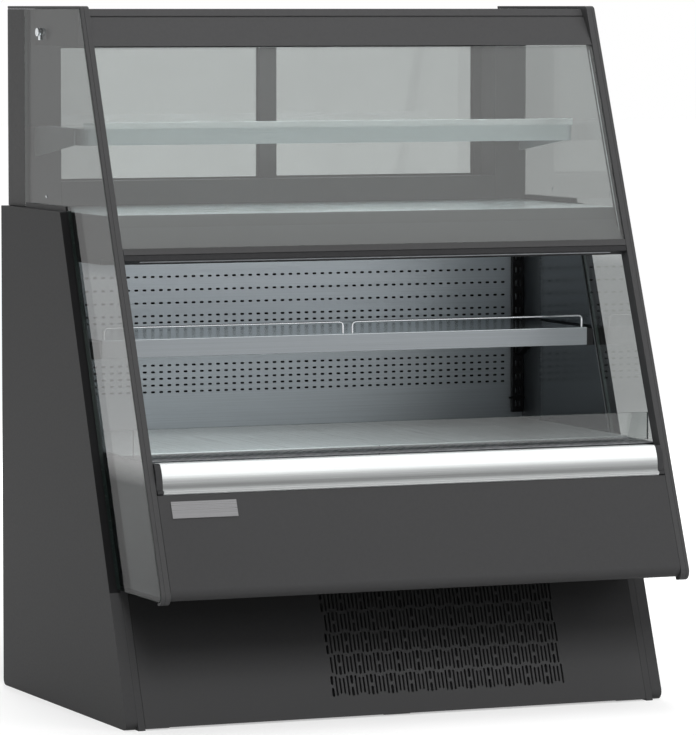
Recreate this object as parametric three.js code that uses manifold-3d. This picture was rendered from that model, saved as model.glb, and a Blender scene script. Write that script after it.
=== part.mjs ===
// Open multideck display fridge: an open refrigerated well below, a glazed display above.
// Millimetres. +X runs to the viewer's right, +Y to the rear, +Z up. The origin is on the
// floor, at the middle of the object's width and depth.
import * as THREE from 'three';
import { mergeGeometries, mergeVertices } from 'three/addons/utils/BufferGeometryUtils.js';
import Module from 'manifold-3d';

const wasm = await Module();
wasm.setup();

// ---------------------------------------------------------------- overall sizes
const WIDTH = 1016; // over the side panels
const HEIGHT = 1232; // to the top of the end frames
const DEPTH = 778; // from the rounded front foot to the rear
const REAR = DEPTH / 2;
const FIT = 0.3; // clearance between pieces that touch
const RUNNING_FIT = 0.1; // radial clearance of a shaft in its bore
const SHEET = 2; // folded sheet metal

// ---------------------------------------------------------------- slanted front
const GLASS_LEAN = Math.tan(THREE.MathUtils.degToRad(21.75));
const BASE_LEAN = Math.tan(THREE.MathUtils.degToRad(20.9));
const FASCIA_BOTTOM = 234;
const FASCIA_HEIGHT = 175;
const FASCIA_TOP = FASCIA_BOTTOM + FASCIA_HEIGHT;
const BUMPER_HEIGHT = 52;
const BUMPER_TOP = FASCIA_TOP + BUMPER_HEIGHT;
const BUMPER_END = 12; // length of the bumper's end caps
const BUMPER_BULGE = 7;
const FASCIA_LIP = 62; // how far the fascia's bottom runs back

// ---------------------------------------------------------------- ends
const PANEL_THICK = 20;
const DECK_HEIGHT = 872; // upper floor
const PANEL_HEIGHT = DECK_HEIGHT + 0.5;
const PANEL_EDGE_ROUND = 5;
const PANEL_FOOT_ROUND = 22; // the outer edge along the floor
const BASE_DEPTH = 649; // of the side panels, along the floor
const RETURN_WIDTH = 33; // the side panel's front return beside the kick panel
const RETURN_DEPTH = 30;
const PANEL_OUT = WIDTH / 2;
const PANEL_IN = PANEL_OUT - PANEL_THICK;
const RETURN_IN = PANEL_OUT - RETURN_WIDTH;
const BASE_FRONT = REAR - BASE_DEPTH;

const END_GLASS_THICK = 6;
const END_INSET = 14; // from the side panel's outer face to the end glass
const END_OUT = PANEL_OUT - END_INSET;
const END_IN = END_OUT - END_GLASS_THICK;
const GASKET = 2; // gap that the end glass's edge seal fills
const POST_WIDTH = 16.5;
const POST_IN = END_OUT - POST_WIDTH;
const POST_LIP = 4; // the post's face that covers the end glass's front edge
const POST_DEPTH = 26;
const POST_FOOT_ROUND = 16;
const POST_TOP_ROUND = 12;
const POST_FOOT_DROP = 6; // the post's foot below the fascia
const TOP_CAP = 5; // the end frame's top strip above the header
const FOOT = FASCIA_BOTTOM - POST_FOOT_DROP;

// The front plane passes ahead of its rounded foot, whose foremost point is the part's front.
const footHalfAngle = (Math.PI / 2 - Math.atan(GLASS_LEAN)) / 2;
const footReach = POST_FOOT_ROUND * (1 / Math.tan(footHalfAngle) - 1);
const glassLine = (z) => -REAR - footReach + (z - FOOT) * GLASS_LEAN;
const baseLine = (z) => BASE_FRONT + z * BASE_LEAN;

// ---------------------------------------------------------------- rear frame
const JAMB_WIDTH = 60;
const JAMB_DEPTH = 100;
const JAMB_FRONT = REAR - JAMB_DEPTH;
const JAMB_SKIN = 91.5; // depth of the jamb that shows outside, behind the end glass
const SILL_HEIGHT = 30;
const SILL_UPSTAND = 15;
const UPSTAND_DEPTH = 40;
const TRACK_WIDTH = 13;
const TRACK_DEPTH = 8;
const DOOR_LIFT = 8; // clearance over a door, so that it lifts out of the lower track
const DOOR_THICK = 11;
const DOOR_PITCH = 16; // between the middles of the two doors
const REAR_DOOR_INSET = 14; // from the rear to the middle of the rear door
const DOOR_STILE = 33;
const DOOR_RAIL = 22;
const DOOR_OVERLAP = 28;
const DOOR_BEHIND = 26; // how far a closed door's outer stile stands behind the jamb
const HEAD_POCKET = 19; // how far a door's top rail stands in the head
const DOOR_GLASS = 4;
const DOOR_SIDE_GAP = 1;
const DOOR_GROOVE = 6; // how far the glass enters its frame
const PULL_WIDTH = 14;
const PULL_HEIGHT = 90;
const PULL_DEPTH = 3;

// ---------------------------------------------------------------- header and roof
const HEADER_HEIGHT = 65;
const HEADER_TOP = HEIGHT - TOP_CAP;
const HEADER_BOTTOM = HEADER_TOP - HEADER_HEIGHT;
const HEADER_DEPTH = 62;
const HEADER_LIP = 40; // how far its lower flange runs back
const HEADER_WALL = 4;
const HEADER_GROOVE_DROP = 15;
const GROOVE = 2.5;
const ROOF_SKIN = 3;
const LIGHT_WIDTH = 26;
const LIGHT_HEIGHT = 14;
const LIGHT_END = 30; // from the posts to the light's ends

// ---------------------------------------------------------------- front glass and mid deck
const FRONT_GLASS_THICK = 6;
const FRONT_GLASS_INSET = 3;
const FRONT_GLASS_GAP = 1;
const DECK_THICK = 86;
const DECK_UNDERSIDE = DECK_HEIGHT - DECK_THICK;
const MID_RAIL_DROP = 54.5; // from the upper floor to the mid rail's top
const MID_RAIL_HEIGHT = 20;
const MID_RAIL_TOP = DECK_HEIGHT - MID_RAIL_DROP;
const MID_RAIL_BOTTOM = MID_RAIL_TOP - MID_RAIL_HEIGHT;
const SLOPE_RUN = 50; // of the plate between the upper floor and the front glass
const CANOPY_LIP = 8; // the sloping plate's front edge above the mid rail
const STRIP_INSET = 6; // the light strip's place in the mid rail's underside
const STRIP_WIDTH = 6;
const STRIP_DEEP = 4;
const HONEYCOMB_HEIGHT = 8;
const HONEYCOMB_DEPTH = 60;
const HONEYCOMB_CELLS = 16;

// ---------------------------------------------------------------- well (lower section)
const TUB_BOTTOM = 240;
const TUB_FLOOR = 44;
const TUB_BACK = 58;
const TUB_FRONT_WALL = 34;
const LINER_THICK = 3;
const LEDGE_WIDTH = 14;
const BACK_PANEL_FACE = JAMB_FRONT - 1;
const DECK_PAN_Z = BUMPER_TOP + 4;
const PAN_FLANGE = 18;
const PAN_SPLIT = 2;
const GRILLE_DEPTH = 110.6;
const GRILLE_THICK = 6;
const GRILLE_BARS = 22;
const GRILLE_BORDER = 10;
const WELL_HALF = PANEL_IN - LINER_THICK - 3 * FIT;

// ---------------------------------------------------------------- air slots in the back panel
const HOLE_BORDER = 40; // from the panel's ends to the outermost slots
const HOLE_ROW_PITCH = 11.95;
const HOLE_RISE = 68; // from the deck to the lowest row
const HOLE_LOW_ROW = DECK_PAN_Z + HOLE_RISE;
const HOLE_ROWS = [0, 1, 2, 3, 4, 11.5, 12.5, 13.5, 15.5, 17.5];
const HOLE_COLUMNS = 15;
const HOLE_LONG = 7;
const HOLE_HIGH = 3;

// ---------------------------------------------------------------- kick panel grille
const SLOT_PITCH = 19;
const SLOT_COLUMNS = 24;
const SLOT_ROWS = 5;
const SLOT_ROW_PITCH = 38;
const SLOT_FIRST_ROW = 34;
const SLOT_LONG = 31;
const SLOT_WIDE = 4;
const GRILLE_CENTRE = WIDTH * 0.1;
const KICK_THICK = 3;
const KICK_GAP = 4; // from the floor
const KICK_TOP = TUB_BOTTOM - 4;

// ---------------------------------------------------------------- shelves
const UPPER_SHELF_DEPTH = 342; // from the rear
const UPPER_SHELF_RISE = 146.5;
const UPPER_SHELF_TOP = DECK_HEIGHT + UPPER_SHELF_RISE;
const UPPER_SHELF_GAP = 12.5; // from the end glass
const UPPER_SHELF_HALF = END_IN - UPPER_SHELF_GAP;
const UPPER_LIP = 30;
const UPPER_CORNER = 16;
const LOWER_SHELF_DEPTH = 416.5; // from the rear
const LOWER_SHELF_RISE = 187;
const LOWER_SHELF_TOP = DECK_PAN_Z + LOWER_SHELF_RISE;
const LOWER_SHELF_GAP = 21; // from the side panel
const LOWER_SHELF_HALF = PANEL_IN - LOWER_SHELF_GAP;
const LOWER_LIP = 32;
const LIP_THICK = 10;
const SHELF_SHEET = 3;
const SHELF_BACK_GAP = 3;
const BRACKET_SHEET = 3;
const BRACKET_WIDTH = 14;
const BRACKET_TAIL = 52;
const BRACKET_NOSE = 30;
const BRACKET_HEEL = 60; // length of the lower bracket's deep heel
const UPRIGHT_WIDTH = 22;
const UPRIGHT_DEPTH = 10;
const UPRIGHT_CENTRE = PANEL_IN - 17;
const UPRIGHT_FOOT = DECK_PAN_Z + 10;
const WIRE = 4.5;
const GUARD_HEIGHT = 23;
const GUARD_GAP = 18; // between the two wire guards
const GUARD_END = 7;
const GUARD_BACK = 9; // from the shelf's front lip to the wire
const UPPER_SHELF_FRONT = REAR - UPPER_SHELF_DEPTH;
const LOWER_SHELF_FRONT = REAR - LOWER_SHELF_DEPTH;

// ---------------------------------------------------------------- name plate (bare)
const PLATE_WIDE = 119;
const PLATE_HIGH = 29.8;
const PLATE_THICK = 1.5;
const PLATE_INDENT = 22; // from the post to the plate
const PLATE_DROP = 12.4; // from the fascia's top edge, along the slope

// ---------------------------------------------------------------- cooling and power
const BASE_PLATE_Z = 30;
const BASE_PLATE_THICK = 4;
const SKID_WIDTH = 50;
const COIL_HEIGHT = 150;
const COIL_BACK_GAP = 24; // from the kick panel's slope
const COIL_DEPTH = 40;
const COIL_HALF = 150;
const FIN_COUNT = 14;
const FIN_THICK = 3;
const SHROUD_DEPTH = 40;
const CONDENSER_FAN_R = 68;
const EVAPORATOR_FAN_R = 42;
const FAN_CLEARANCE = 3;
const FAN_BLADES = 5;
const FAN_AXIAL = 16;
const FAN_TO_MOTOR = 2;
const BLADE_THICK = 2.5;
const BLADE_TWIST = 0.42;
const HUB_R = 18;
const SMALL_HUB_R = 14;
const SHAFT_R = 4;
const HUB_CAP = 3; // closed nose of a fan's hub
const MOTOR_LENGTH = 24;
const ARM_WIDTH = 14;
const EVAP_HALF = WIDTH * 0.3;
const EVAP_DEPTH = 130;
const EVAP_HEIGHT = 80;
const EVAP_FAN_OFFSET = EVAP_HALF / 2;
const COMPRESSOR_R = 72;
const COMPRESSOR_HEIGHT = 150;
const COMPRESSOR_FOOT = 12;
const PIPE_R = 5;
const PIPE_HOLE_R = 9;
const PAN_RIM = 34;
const PAN_WIDTH = 370;
const PAN_DEPTH = 180;
const PAN_TO_REAR = 59;
const COMPRESSOR_TO_END = 175; // from the base plate's end to the compressor's axis
const COMPRESSOR_TO_REAR = 329;
const SUCTION_HEIGHT = 115; // above the base plate
const SUCTION_RISE = 120; // how far ahead of the compressor the line goes up
const DISCHARGE_HEIGHT = 100;
const COIL_TO_GRILLE = 30; // from the grille's middle to the condenser's
const SERVICE_INSET = 8; // the rear service panel behind the side panels' rear edge
const LOUVRES = 8;
const LOUVRE_PITCH = 20;
const LOUVRE_LONG = 300;
const LOUVRE_HIGH = 8;
const CONTROL_TO_END = 95; // from the base plate's end to the control box's middle
const SWITCH_HEIGHT = 110; // above the base plate
const GLAND_HEIGHT = 50;
const CONTROL_WIDTH = 120;
const CONTROL_HEIGHT = 156;
const CONTROL_DEPTH = 70;
const SWITCH_WIDE = 22;
const SWITCH_HIGH = 15;
const SWITCH_TILT = THREE.MathUtils.degToRad(8);
const SWITCH_PIN_R = 1.5;
const GLAND_R = 9;
const GLAND_PROUD = 8;

// ================================================================ helpers
const group = new THREE.Group();

function bufferOf(solid) {
  const mesh = solid.getMesh();
  const positions = new Float32Array(mesh.numVert * 3);
  for (let i = 0; i < mesh.numVert; i++) {
    positions.set(mesh.vertProperties.subarray(i * mesh.numProp, i * mesh.numProp + 3), i * 3);
  }
  const geometry = new THREE.BufferGeometry();
  geometry.setAttribute('position', new THREE.BufferAttribute(positions, 3));
  geometry.setIndex(new THREE.BufferAttribute(new Uint32Array(mesh.triVerts), 1));
  return geometry;
}

function solidOf(geometry) {
  const bare = geometry.clone();
  bare.deleteAttribute('normal');
  bare.deleteAttribute('uv');
  const merged = mergeVertices(bare, 1e-3);
  return new wasm.Manifold(new wasm.Mesh({
    numProp: 3,
    vertProperties: merged.attributes.position.array,
    triVerts: new Uint32Array(merged.index.array),
  }));
}

function join(...geometries) {
  return bufferOf(geometries.map(solidOf).reduce((sum, solid) => sum.add(solid)));
}

function cut(geometry, ...tools) {
  return bufferOf(tools.map(solidOf).reduce((rest, tool) => rest.subtract(tool), solidOf(geometry)));
}

// Cuts many separate boxes, given as [x0, x1, y0, y1, z0, z1], in one go.
function pierced(geometry, boxes) {
  return cut(geometry, mergeGeometries(boxes.map((sides) => box(...sides))));
}

function box(x0, x1, y0, y1, z0, z1) {
  const geometry = new THREE.BoxGeometry(x1 - x0, y1 - y0, z1 - z0);
  return geometry.translate((x0 + x1) / 2, (y0 + y1) / 2, (z0 + z1) / 2);
}

function shapeOf(points, holes = []) {
  const shape = new THREE.Shape(points.map(([u, v]) => new THREE.Vector2(u, v)));
  holes.forEach((hole) => {
    shape.holes.push(new THREE.Path(hole.map(([u, v]) => new THREE.Vector2(u, v))));
  });
  return shape;
}

function prism(shape, length) {
  return new THREE.ExtrudeGeometry(shape, { depth: length, bevelEnabled: false, curveSegments: 6 });
}

// A side outline, as [y, z] points, drawn out from x0 to x1.
function alongX(points, x0, x1, holes) {
  const turn = new THREE.Matrix4().makeBasis(
    new THREE.Vector3(0, 1, 0),
    new THREE.Vector3(0, 0, 1),
    new THREE.Vector3(1, 0, 0),
  );
  return prism(shapeOf(points, holes), x1 - x0).applyMatrix4(turn).translate(x0, 0, 0);
}

// A plan outline, as [x, y] points, drawn up from z0 to z1.
function alongZ(points, z0, z1, holes) {
  return prism(shapeOf(points, holes), z1 - z0).translate(0, 0, z0);
}

// A front outline, as [x, z] points, drawn back from y0 to y1.
function alongY(points, y0, y1, holes) {
  const turn = new THREE.Matrix4().makeBasis(
    new THREE.Vector3(1, 0, 0),
    new THREE.Vector3(0, 0, 1),
    new THREE.Vector3(0, -1, 0),
  );
  return prism(shapeOf(points, holes), y1 - y0).applyMatrix4(turn).translate(0, y1, 0);
}

function disc(radius, y0, y1, x, z, sides = 20) {
  const geometry = new THREE.CylinderGeometry(radius, radius, y1 - y0, sides);
  return geometry.translate(x, (y0 + y1) / 2, z);
}

// A path through the given points, with one ring of the tube at each point.
class Bends extends THREE.Curve {
  constructor(points) {
    super();
    this.points = points.map((point) => new THREE.Vector3(...point));
  }

  getPoint(t, target = new THREE.Vector3()) {
    const at = t * (this.points.length - 1);
    const i = Math.min(Math.floor(at), this.points.length - 2);
    return target.lerpVectors(this.points[i], this.points[i + 1], at - i);
  }

  getUtoTmapping(u) {
    return u;
  }
}

function tube(points, radius, sides = 8) {
  const section = new THREE.Shape();
  for (let i = 0; i < sides; i++) {
    const angle = (2 * Math.PI * i) / sides;
    const point = [radius * Math.cos(angle), radius * Math.sin(angle)];
    if (i) section.lineTo(...point);
    else section.moveTo(...point);
  }
  const extrudePath = new Bends(points);
  return new THREE.ExtrudeGeometry(section, { steps: points.length - 1, bevelEnabled: false, extrudePath });
}

// The points of a bent line whose inner corners are rounded in steps.
function bent(points, radius, steps = 3) {
  return points.flatMap((point, i) => {
    if (i === 0 || i === points.length - 1) return [point];
    const at = new THREE.Vector3(...point);
    const a = new THREE.Vector3(...points[i - 1]).sub(at).setLength(radius).add(at);
    const b = new THREE.Vector3(...points[i + 1]).sub(at).setLength(radius).add(at);
    return new THREE.QuadraticBezierCurve3(a, at, b).getPoints(steps).map((p) => p.toArray());
  });
}

// The left-hand twin of a right-hand shape.
function mirrored(geometry) {
  const twin = geometry.index ? geometry.toNonIndexed() : geometry.clone();
  const position = twin.attributes.position;
  for (let i = 0; i < position.count; i++) {
    position.setX(i, -position.getX(i));
  }
  for (let i = 0; i < position.count; i += 3) {
    const first = new THREE.Vector3().fromBufferAttribute(position, i);
    const second = new THREE.Vector3().fromBufferAttribute(position, i + 1);
    position.setXYZ(i, second.x, second.y, second.z);
    position.setXYZ(i + 1, first.x, first.y, first.z);
  }
  twin.deleteAttribute('normal');
  twin.deleteAttribute('uv');
  return twin;
}

// Points of a round corner of the polyline before-corner-after.
function corner(before, at, after, radius, steps = 5) {
  const a = new THREE.Vector2(...before).sub(new THREE.Vector2(...at)).normalize();
  const b = new THREE.Vector2(...after).sub(new THREE.Vector2(...at)).normalize();
  const half = Math.acos(THREE.MathUtils.clamp(a.dot(b), -1, 1)) / 2;
  const reach = radius / Math.tan(half);
  const centre = a.clone().add(b).normalize().multiplyScalar(radius / Math.sin(half));
  centre.add(new THREE.Vector2(...at));
  const start = a.multiplyScalar(reach).add(new THREE.Vector2(...at)).sub(centre);
  const end = b.multiplyScalar(reach).add(new THREE.Vector2(...at)).sub(centre);
  const sweep = Math.atan2(start.cross(end), start.dot(end));
  const points = [];
  for (let i = 0; i <= steps; i++) {
    const spoke = start.clone().rotateAround(new THREE.Vector2(), (sweep * i) / steps).add(centre);
    points.push([spoke.x, spoke.y]);
  }
  return points;
}

function rounded(points, radii) {
  const count = points.length;
  return points.flatMap((at, i) => {
    if (!radii[i]) return [at];
    return corner(points[(i + count - 1) % count], at, points[(i + 1) % count], radii[i]);
  });
}

const finish = {
  charcoal: { color: 0x484848, roughness: 0.5, metalness: 0.1 },
  black: { color: 0x161616, roughness: 0.6, metalness: 0 },
  steel: { color: 0xb9c1c4, roughness: 0.35, metalness: 0.9 },
  darkLiner: { color: 0x40454a, roughness: 0.2, metalness: 0.4 },
  foam: { color: 0x9aa09d, roughness: 0.7, metalness: 0 },
  chrome: { color: 0xe6ebec, roughness: 0.12, metalness: 1 },
  glass: { color: 0xa9b3b0, roughness: 0.05, metalness: 0, transparent: true, opacity: 0.35 },
  lamp: { color: 0xf4f8ff, roughness: 0.4, metalness: 0 },
  copper: { color: 0xb26f45, roughness: 0.35, metalness: 0.9 },
  galvanised: { color: 0x8f9497, roughness: 0.5, metalness: 0.7 },
};

function add(name, geometry, look) {
  const clean = geometry.clone();
  clean.computeVertexNormals();
  const mesh = new THREE.Mesh(clean, new THREE.MeshStandardMaterial(finish[look]));
  mesh.name = name;
  group.add(mesh);
}

function addPair(name, rightGeometry, look) {
  add(`${name}_left`, mirrored(rightGeometry), look);
  add(`${name}_right`, rightGeometry, look);
}

// Unit vectors of the slanted front, in the side plane: up the slope, and out of it.
const slopeLength = Math.hypot(GLASS_LEAN, 1);
const slopeUp = [GLASS_LEAN / slopeLength, 1 / slopeLength];
const slopeOut = [-slopeUp[1], slopeUp[0]];

// A point on the slanted front at height z, moved inwards, square to the front.
function frontPoint(z, inwards = 0) {
  return [glassLine(z) - slopeOut[0] * inwards, z - slopeOut[1] * inwards];
}

// The point at height z on the plane that lies inwards of the slanted front.
function behindFront(z, inwards) {
  return [glassLine(z) + inwards / slopeUp[1], z];
}

// A slab that lies along the slanted front between two heights.
function frontSlab(z0, z1, inset, thick) {
  const back = inset + thick;
  return [frontPoint(z0, inset), frontPoint(z0, back), frontPoint(z1, back), frontPoint(z1, inset)];
}

const grilleFront = behindFront(DECK_PAN_Z, POST_DEPTH + 2 * FIT)[0];
const deckPanFront = grilleFront + GRILLE_DEPTH + FIT;

// Clears the space of the two front posts out of the pieces between them.
function clearOfPosts(geometry) {
  const slab = frontSlab(FOOT - 40, HEIGHT, -20, 20 + POST_DEPTH + FIT);
  const right = alongX(slab, POST_IN - FIT, PANEL_OUT);
  return cut(geometry, right, mirrored(right));
}

// ================================================================ base
function sidePanel() {
  const outline = rounded(
    [[baseLine(0), 0], [REAR, 0], [REAR, PANEL_HEIGHT], [baseLine(PANEL_HEIGHT), PANEL_HEIGHT]],
    [PANEL_EDGE_ROUND, 0, 0, PANEL_EDGE_ROUND],
  );
  const slab = alongX(outline, PANEL_IN, PANEL_OUT);
  const returnTop = KICK_TOP;
  const frontReturn = alongX([
    [baseLine(0), 0],
    [baseLine(0) + RETURN_DEPTH, 0],
    [baseLine(returnTop) + RETURN_DEPTH, returnTop],
    [baseLine(returnTop), returnTop],
  ], RETURN_IN, PANEL_IN + 1);
  const whole = join(slab, frontReturn);
  return cut(whole, footCutter(), frontEdgeCutter());
}

// Rounds the side panel's outer edge along the floor.
function footCutter() {
  const reach = PANEL_FOOT_ROUND;
  const arc = [];
  for (let i = 0; i <= 6; i++) {
    const angle = (Math.PI / 2) * (i / 6);
    arc.push([PANEL_OUT - reach + reach * Math.sin(angle), reach - reach * Math.cos(angle)]);
  }
  const outside = 5;
  return alongY(
    [...arc, [PANEL_OUT + outside, reach], [PANEL_OUT + outside, -outside], [PANEL_OUT - reach, -outside]],
    BASE_FRONT - 2 * outside,
    REAR + outside,
  );
}

// Eases the side panel's slanted outer front edge.
function frontEdgeCutter() {
  const reach = PANEL_EDGE_ROUND;
  const margin = 30;
  const low = -margin;
  const high = PANEL_HEIGHT + margin;
  const sheared = new THREE.Matrix4().set(1, 0, 0, 0, 0, 1, BASE_LEAN, 0, 0, 0, 1, 0, 0, 0, 0, 1);
  const arc = [];
  for (let i = 0; i <= 4; i++) {
    const angle = (Math.PI / 2) * (i / 4);
    arc.push([PANEL_OUT - reach + reach * Math.sin(angle), BASE_FRONT + reach - reach * Math.cos(angle)]);
  }
  const plan = [...arc, [PANEL_OUT + reach, BASE_FRONT + reach], [PANEL_OUT + reach, BASE_FRONT - reach],
    [PANEL_OUT - reach, BASE_FRONT - reach]];
  return alongZ(plan, low, high).applyMatrix4(sheared);
}

function kickPanel() {
  const half = RETURN_IN - FIT;
  const lean = Math.hypot(BASE_LEAN, 1);
  const height = (KICK_TOP - KICK_GAP) * lean;
  const slots = [];
  for (let row = 0; row < SLOT_ROWS; row++) {
    const shift = (row % 2) * (SLOT_PITCH / 2);
    for (let column = 0; column < SLOT_COLUMNS; column++) {
      const x = GRILLE_CENTRE + (column - (SLOT_COLUMNS - 0.5) / 2) * SLOT_PITCH + shift;
      const v = SLOT_FIRST_ROW + row * SLOT_ROW_PITCH;
      slots.push([x, x + SLOT_WIDE, v, v + SLOT_LONG, -1, KICK_THICK + 1]);
    }
  }
  const flat = pierced(box(-half, half, 0, height, 0, KICK_THICK), slots);
  // The sheet's own upright is the base's slanted line, and its front faces out.
  const up = new THREE.Vector3(0, BASE_LEAN / lean, 1 / lean);
  const out = new THREE.Vector3(0, -up.z, up.y);
  const turn = new THREE.Matrix4().makeBasis(new THREE.Vector3(1, 0, 0), up, out);
  const foot = new THREE.Vector3(0, baseLine(KICK_GAP), KICK_GAP).addScaledVector(out, -KICK_THICK);
  return flat.applyMatrix4(turn).translate(foot.x, foot.y, foot.z);
}

function basePlate() {
  const half = RETURN_IN - FIT;
  const top = BASE_PLATE_Z + BASE_PLATE_THICK;
  const front = baseLine(top) + 2 * KICK_THICK;
  const back = REAR - SERVICE_INSET - SHEET - FIT;
  const plate = box(-half, half, front, back, BASE_PLATE_Z, top);
  const skids = [-half, -SKID_WIDTH / 2, half - SKID_WIDTH].map((x) => (
    box(x, x + SKID_WIDTH, front, back, 0, BASE_PLATE_Z + 1)
  ));
  return join(plate, ...skids);
}

function servicePanel() {
  const half = PANEL_IN - FIT;
  const y1 = REAR - SERVICE_INSET;
  const y0 = y1 - SHEET;
  const openings = [];
  for (let i = 0; i < LOUVRES; i++) {
    for (const x of [-half / 2, half / 8]) {
      const z = KICK_GAP + LOUVRE_PITCH * (i + 2);
      openings.push([x - LOUVRE_LONG / 2, x + LOUVRE_LONG / 2, y0 - 1, y1 + 1, z, z + LOUVRE_HIGH]);
    }
  }
  const [w, h] = [SWITCH_WIDE / 2 + 3, SWITCH_HIGH / 2 + 3];
  openings.push([controlX - w, controlX + w, y0 - 1, y1 + 1, switchZ - h, switchZ + h]);
  const sheet = pierced(box(-half, half, y0, y1, KICK_GAP, TUB_BOTTOM - 1), openings);
  return cut(sheet, disc(GLAND_R + FIT, y0 - 1, y1 + 1, controlX, glandZ));
}

// ================================================================ insulated well
function insulatedTub() {
  const half = PANEL_IN - LINER_THICK - 2 * FIT;
  const skin = SHEET + FIT;
  const floorTop = TUB_BOTTOM + TUB_FLOOR;
  const backFace = REAR - TUB_BACK;
  const outline = [
    behindFront(TUB_BOTTOM, skin + POST_FOOT_ROUND),
    [REAR, TUB_BOTTOM],
    [REAR, DECK_UNDERSIDE - FIT],
    [backFace, DECK_UNDERSIDE - FIT],
    [backFace, floorTop],
    behindFront(floorTop, skin + TUB_FRONT_WALL),
    frontPoint(FASCIA_TOP, skin + TUB_FRONT_WALL),
    frontPoint(FASCIA_TOP, skin),
    behindFront(TUB_BOTTOM + POST_FOOT_ROUND, skin),
  ];
  const pipeHole = new THREE.CylinderGeometry(PIPE_HOLE_R, PIPE_HOLE_R, TUB_FLOOR * 2, 12);
  pipeHole.rotateX(Math.PI / 2).translate(suctionX, suctionY, TUB_BOTTOM + TUB_FLOOR / 2);
  return cut(clearOfPosts(alongX(outline, -half, half)), pipeHole);
}

// The end wall's inner sheet, with the ledge that carries the deck pans.
function endLiner() {
  const inset = POST_DEPTH + FIT;
  const rear = REAR - SHEET;
  const outline = [
    behindFront(TUB_BOTTOM, inset),
    [rear, TUB_BOTTOM],
    [rear, DECK_UNDERSIDE - FIT],
    [baseLine(DECK_UNDERSIDE), DECK_UNDERSIDE - FIT],
    [baseLine(BUMPER_TOP), BUMPER_TOP],
    behindFront(BUMPER_TOP, inset),
  ];
  const x0 = PANEL_IN - LINER_THICK - FIT;
  const under = DECK_PAN_Z - SHEET - FIT;
  const margin = 2 * SHEET + 2;
  const ledge = box(x0 - LEDGE_WIDTH, x0 + 1, deckPanFront + margin, BACK_PANEL_FACE - margin,
    under - LINER_THICK, under);
  return join(alongX(outline, x0, PANEL_IN - FIT), ledge);
}

// A sheet whose two folded legs stand it off the tub's back wall.
function backPanel() {
  const half = WELL_HALF;
  const inside = half - SHEET;
  const y0 = BACK_PANEL_FACE;
  const y1 = BACK_PANEL_FACE + SHEET;
  const y2 = REAR - TUB_BACK - FIT;
  const plan = [[-half, y0], [half, y0], [half, y2], [inside, y2],
    [inside, y1], [-inside, y1], [-inside, y2], [-half, y2]];
  const folded = alongZ(plan, DECK_PAN_Z - PAN_FLANGE, DECK_UNDERSIDE - 2 * FIT);
  const [w, h] = [HOLE_LONG / 2, HOLE_HIGH / 2];
  const holes = HOLE_ROWS.flatMap((row) => {
    const z = HOLE_LOW_ROW + row * HOLE_ROW_PITCH;
    return Array.from({ length: HOLE_COLUMNS }, (_, i) => {
      const x = (i / (HOLE_COLUMNS - 1) - 0.5) * 2 * (half - HOLE_BORDER);
      return [x - w, x + w, y0 - 1, y1 + 1, z - h, z + h];
    });
  });
  return pierced(folded, holes);
}

// One half of the well's lift-out deck, a sheet with its front and rear edges folded down.
function deckPan() {
  const front = deckPanFront;
  const back = BACK_PANEL_FACE - FIT;
  const low = DECK_PAN_Z - PAN_FLANGE;
  const under = DECK_PAN_Z - SHEET;
  const outline = [
    [front, low],
    [front + SHEET, low],
    [front + SHEET, under],
    [back - SHEET, under],
    [back - SHEET, low],
    [back, low],
    [back, DECK_PAN_Z],
    [front, DECK_PAN_Z],
  ];
  return alongX(outline, PAN_SPLIT / 2, WELL_HALF);
}

function returnGrille() {
  const back = deckPanFront - FIT;
  const z1 = DECK_PAN_Z - SHEET;
  const z0 = z1 - GRILLE_THICK;
  const bars = [];
  const pitch = (2 * (WELL_HALF - GRILLE_BORDER)) / GRILLE_BARS;
  for (let i = 0; i < GRILLE_BARS; i++) {
    const x = -WELL_HALF + GRILLE_BORDER + pitch * (i + 0.2);
    bars.push([x, x + pitch * 0.6, grilleFront + GRILLE_BORDER, back - GRILLE_BORDER, z0 - 1, z1 + 1]);
  }
  return pierced(box(-WELL_HALF, WELL_HALF, grilleFront, back, z0, z1), bars);
}

// ================================================================ front
function fascia() {
  const half = POST_IN - FIT;
  const top = FASCIA_TOP - FIT;
  const back = glassLine(FASCIA_BOTTOM) + FASCIA_LIP;
  const inside = FASCIA_BOTTOM + SHEET;
  const outer = rounded(
    [frontPoint(top), [glassLine(FASCIA_BOTTOM), FASCIA_BOTTOM], [back, FASCIA_BOTTOM]],
    [0, POST_FOOT_ROUND, 0],
  );
  const inner = rounded(
    [frontPoint(top, SHEET), behindFront(inside, SHEET), [back, inside]],
    [0, POST_FOOT_ROUND - SHEET, 0],
  );
  return alongX([...outer, ...inner.reverse()], -half, half);
}

function namePlate() {
  const z1 = FASCIA_TOP - PLATE_DROP * slopeUp[1];
  const z0 = z1 - PLATE_HIGH * slopeUp[1];
  const left = -POST_IN + PLATE_INDENT;
  return alongX(frontSlab(z0, z1, -PLATE_THICK - FIT, PLATE_THICK), left, left + PLATE_WIDE);
}

// A rounded rail whose top runs back to the return air grille.
function bumperOutline(proud) {
  const low = FASCIA_TOP + FIT;
  const bulge = [];
  const steps = 10;
  for (let i = 0; i <= steps; i++) {
    const t = i / steps;
    const swell = proud * Math.sqrt(Math.sin(Math.PI * (0.1 + t * 0.9)));
    bulge.push(frontPoint(low + (BUMPER_TOP - low) * t, SHEET - swell));
  }
  const back = grilleFront - FIT;
  return [...bulge, [back, BUMPER_TOP - SHEET], [back, DECK_PAN_Z - 2 * PAN_FLANGE],
    frontPoint(low, POST_DEPTH)];
}

function bumperRail() {
  return alongX(bumperOutline(BUMPER_BULGE), -(POST_IN - BUMPER_END), POST_IN - BUMPER_END);
}

function bumperCap() {
  return alongX(bumperOutline(BUMPER_BULGE + 1), POST_IN - BUMPER_END + FIT, POST_IN - FIT);
}

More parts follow.
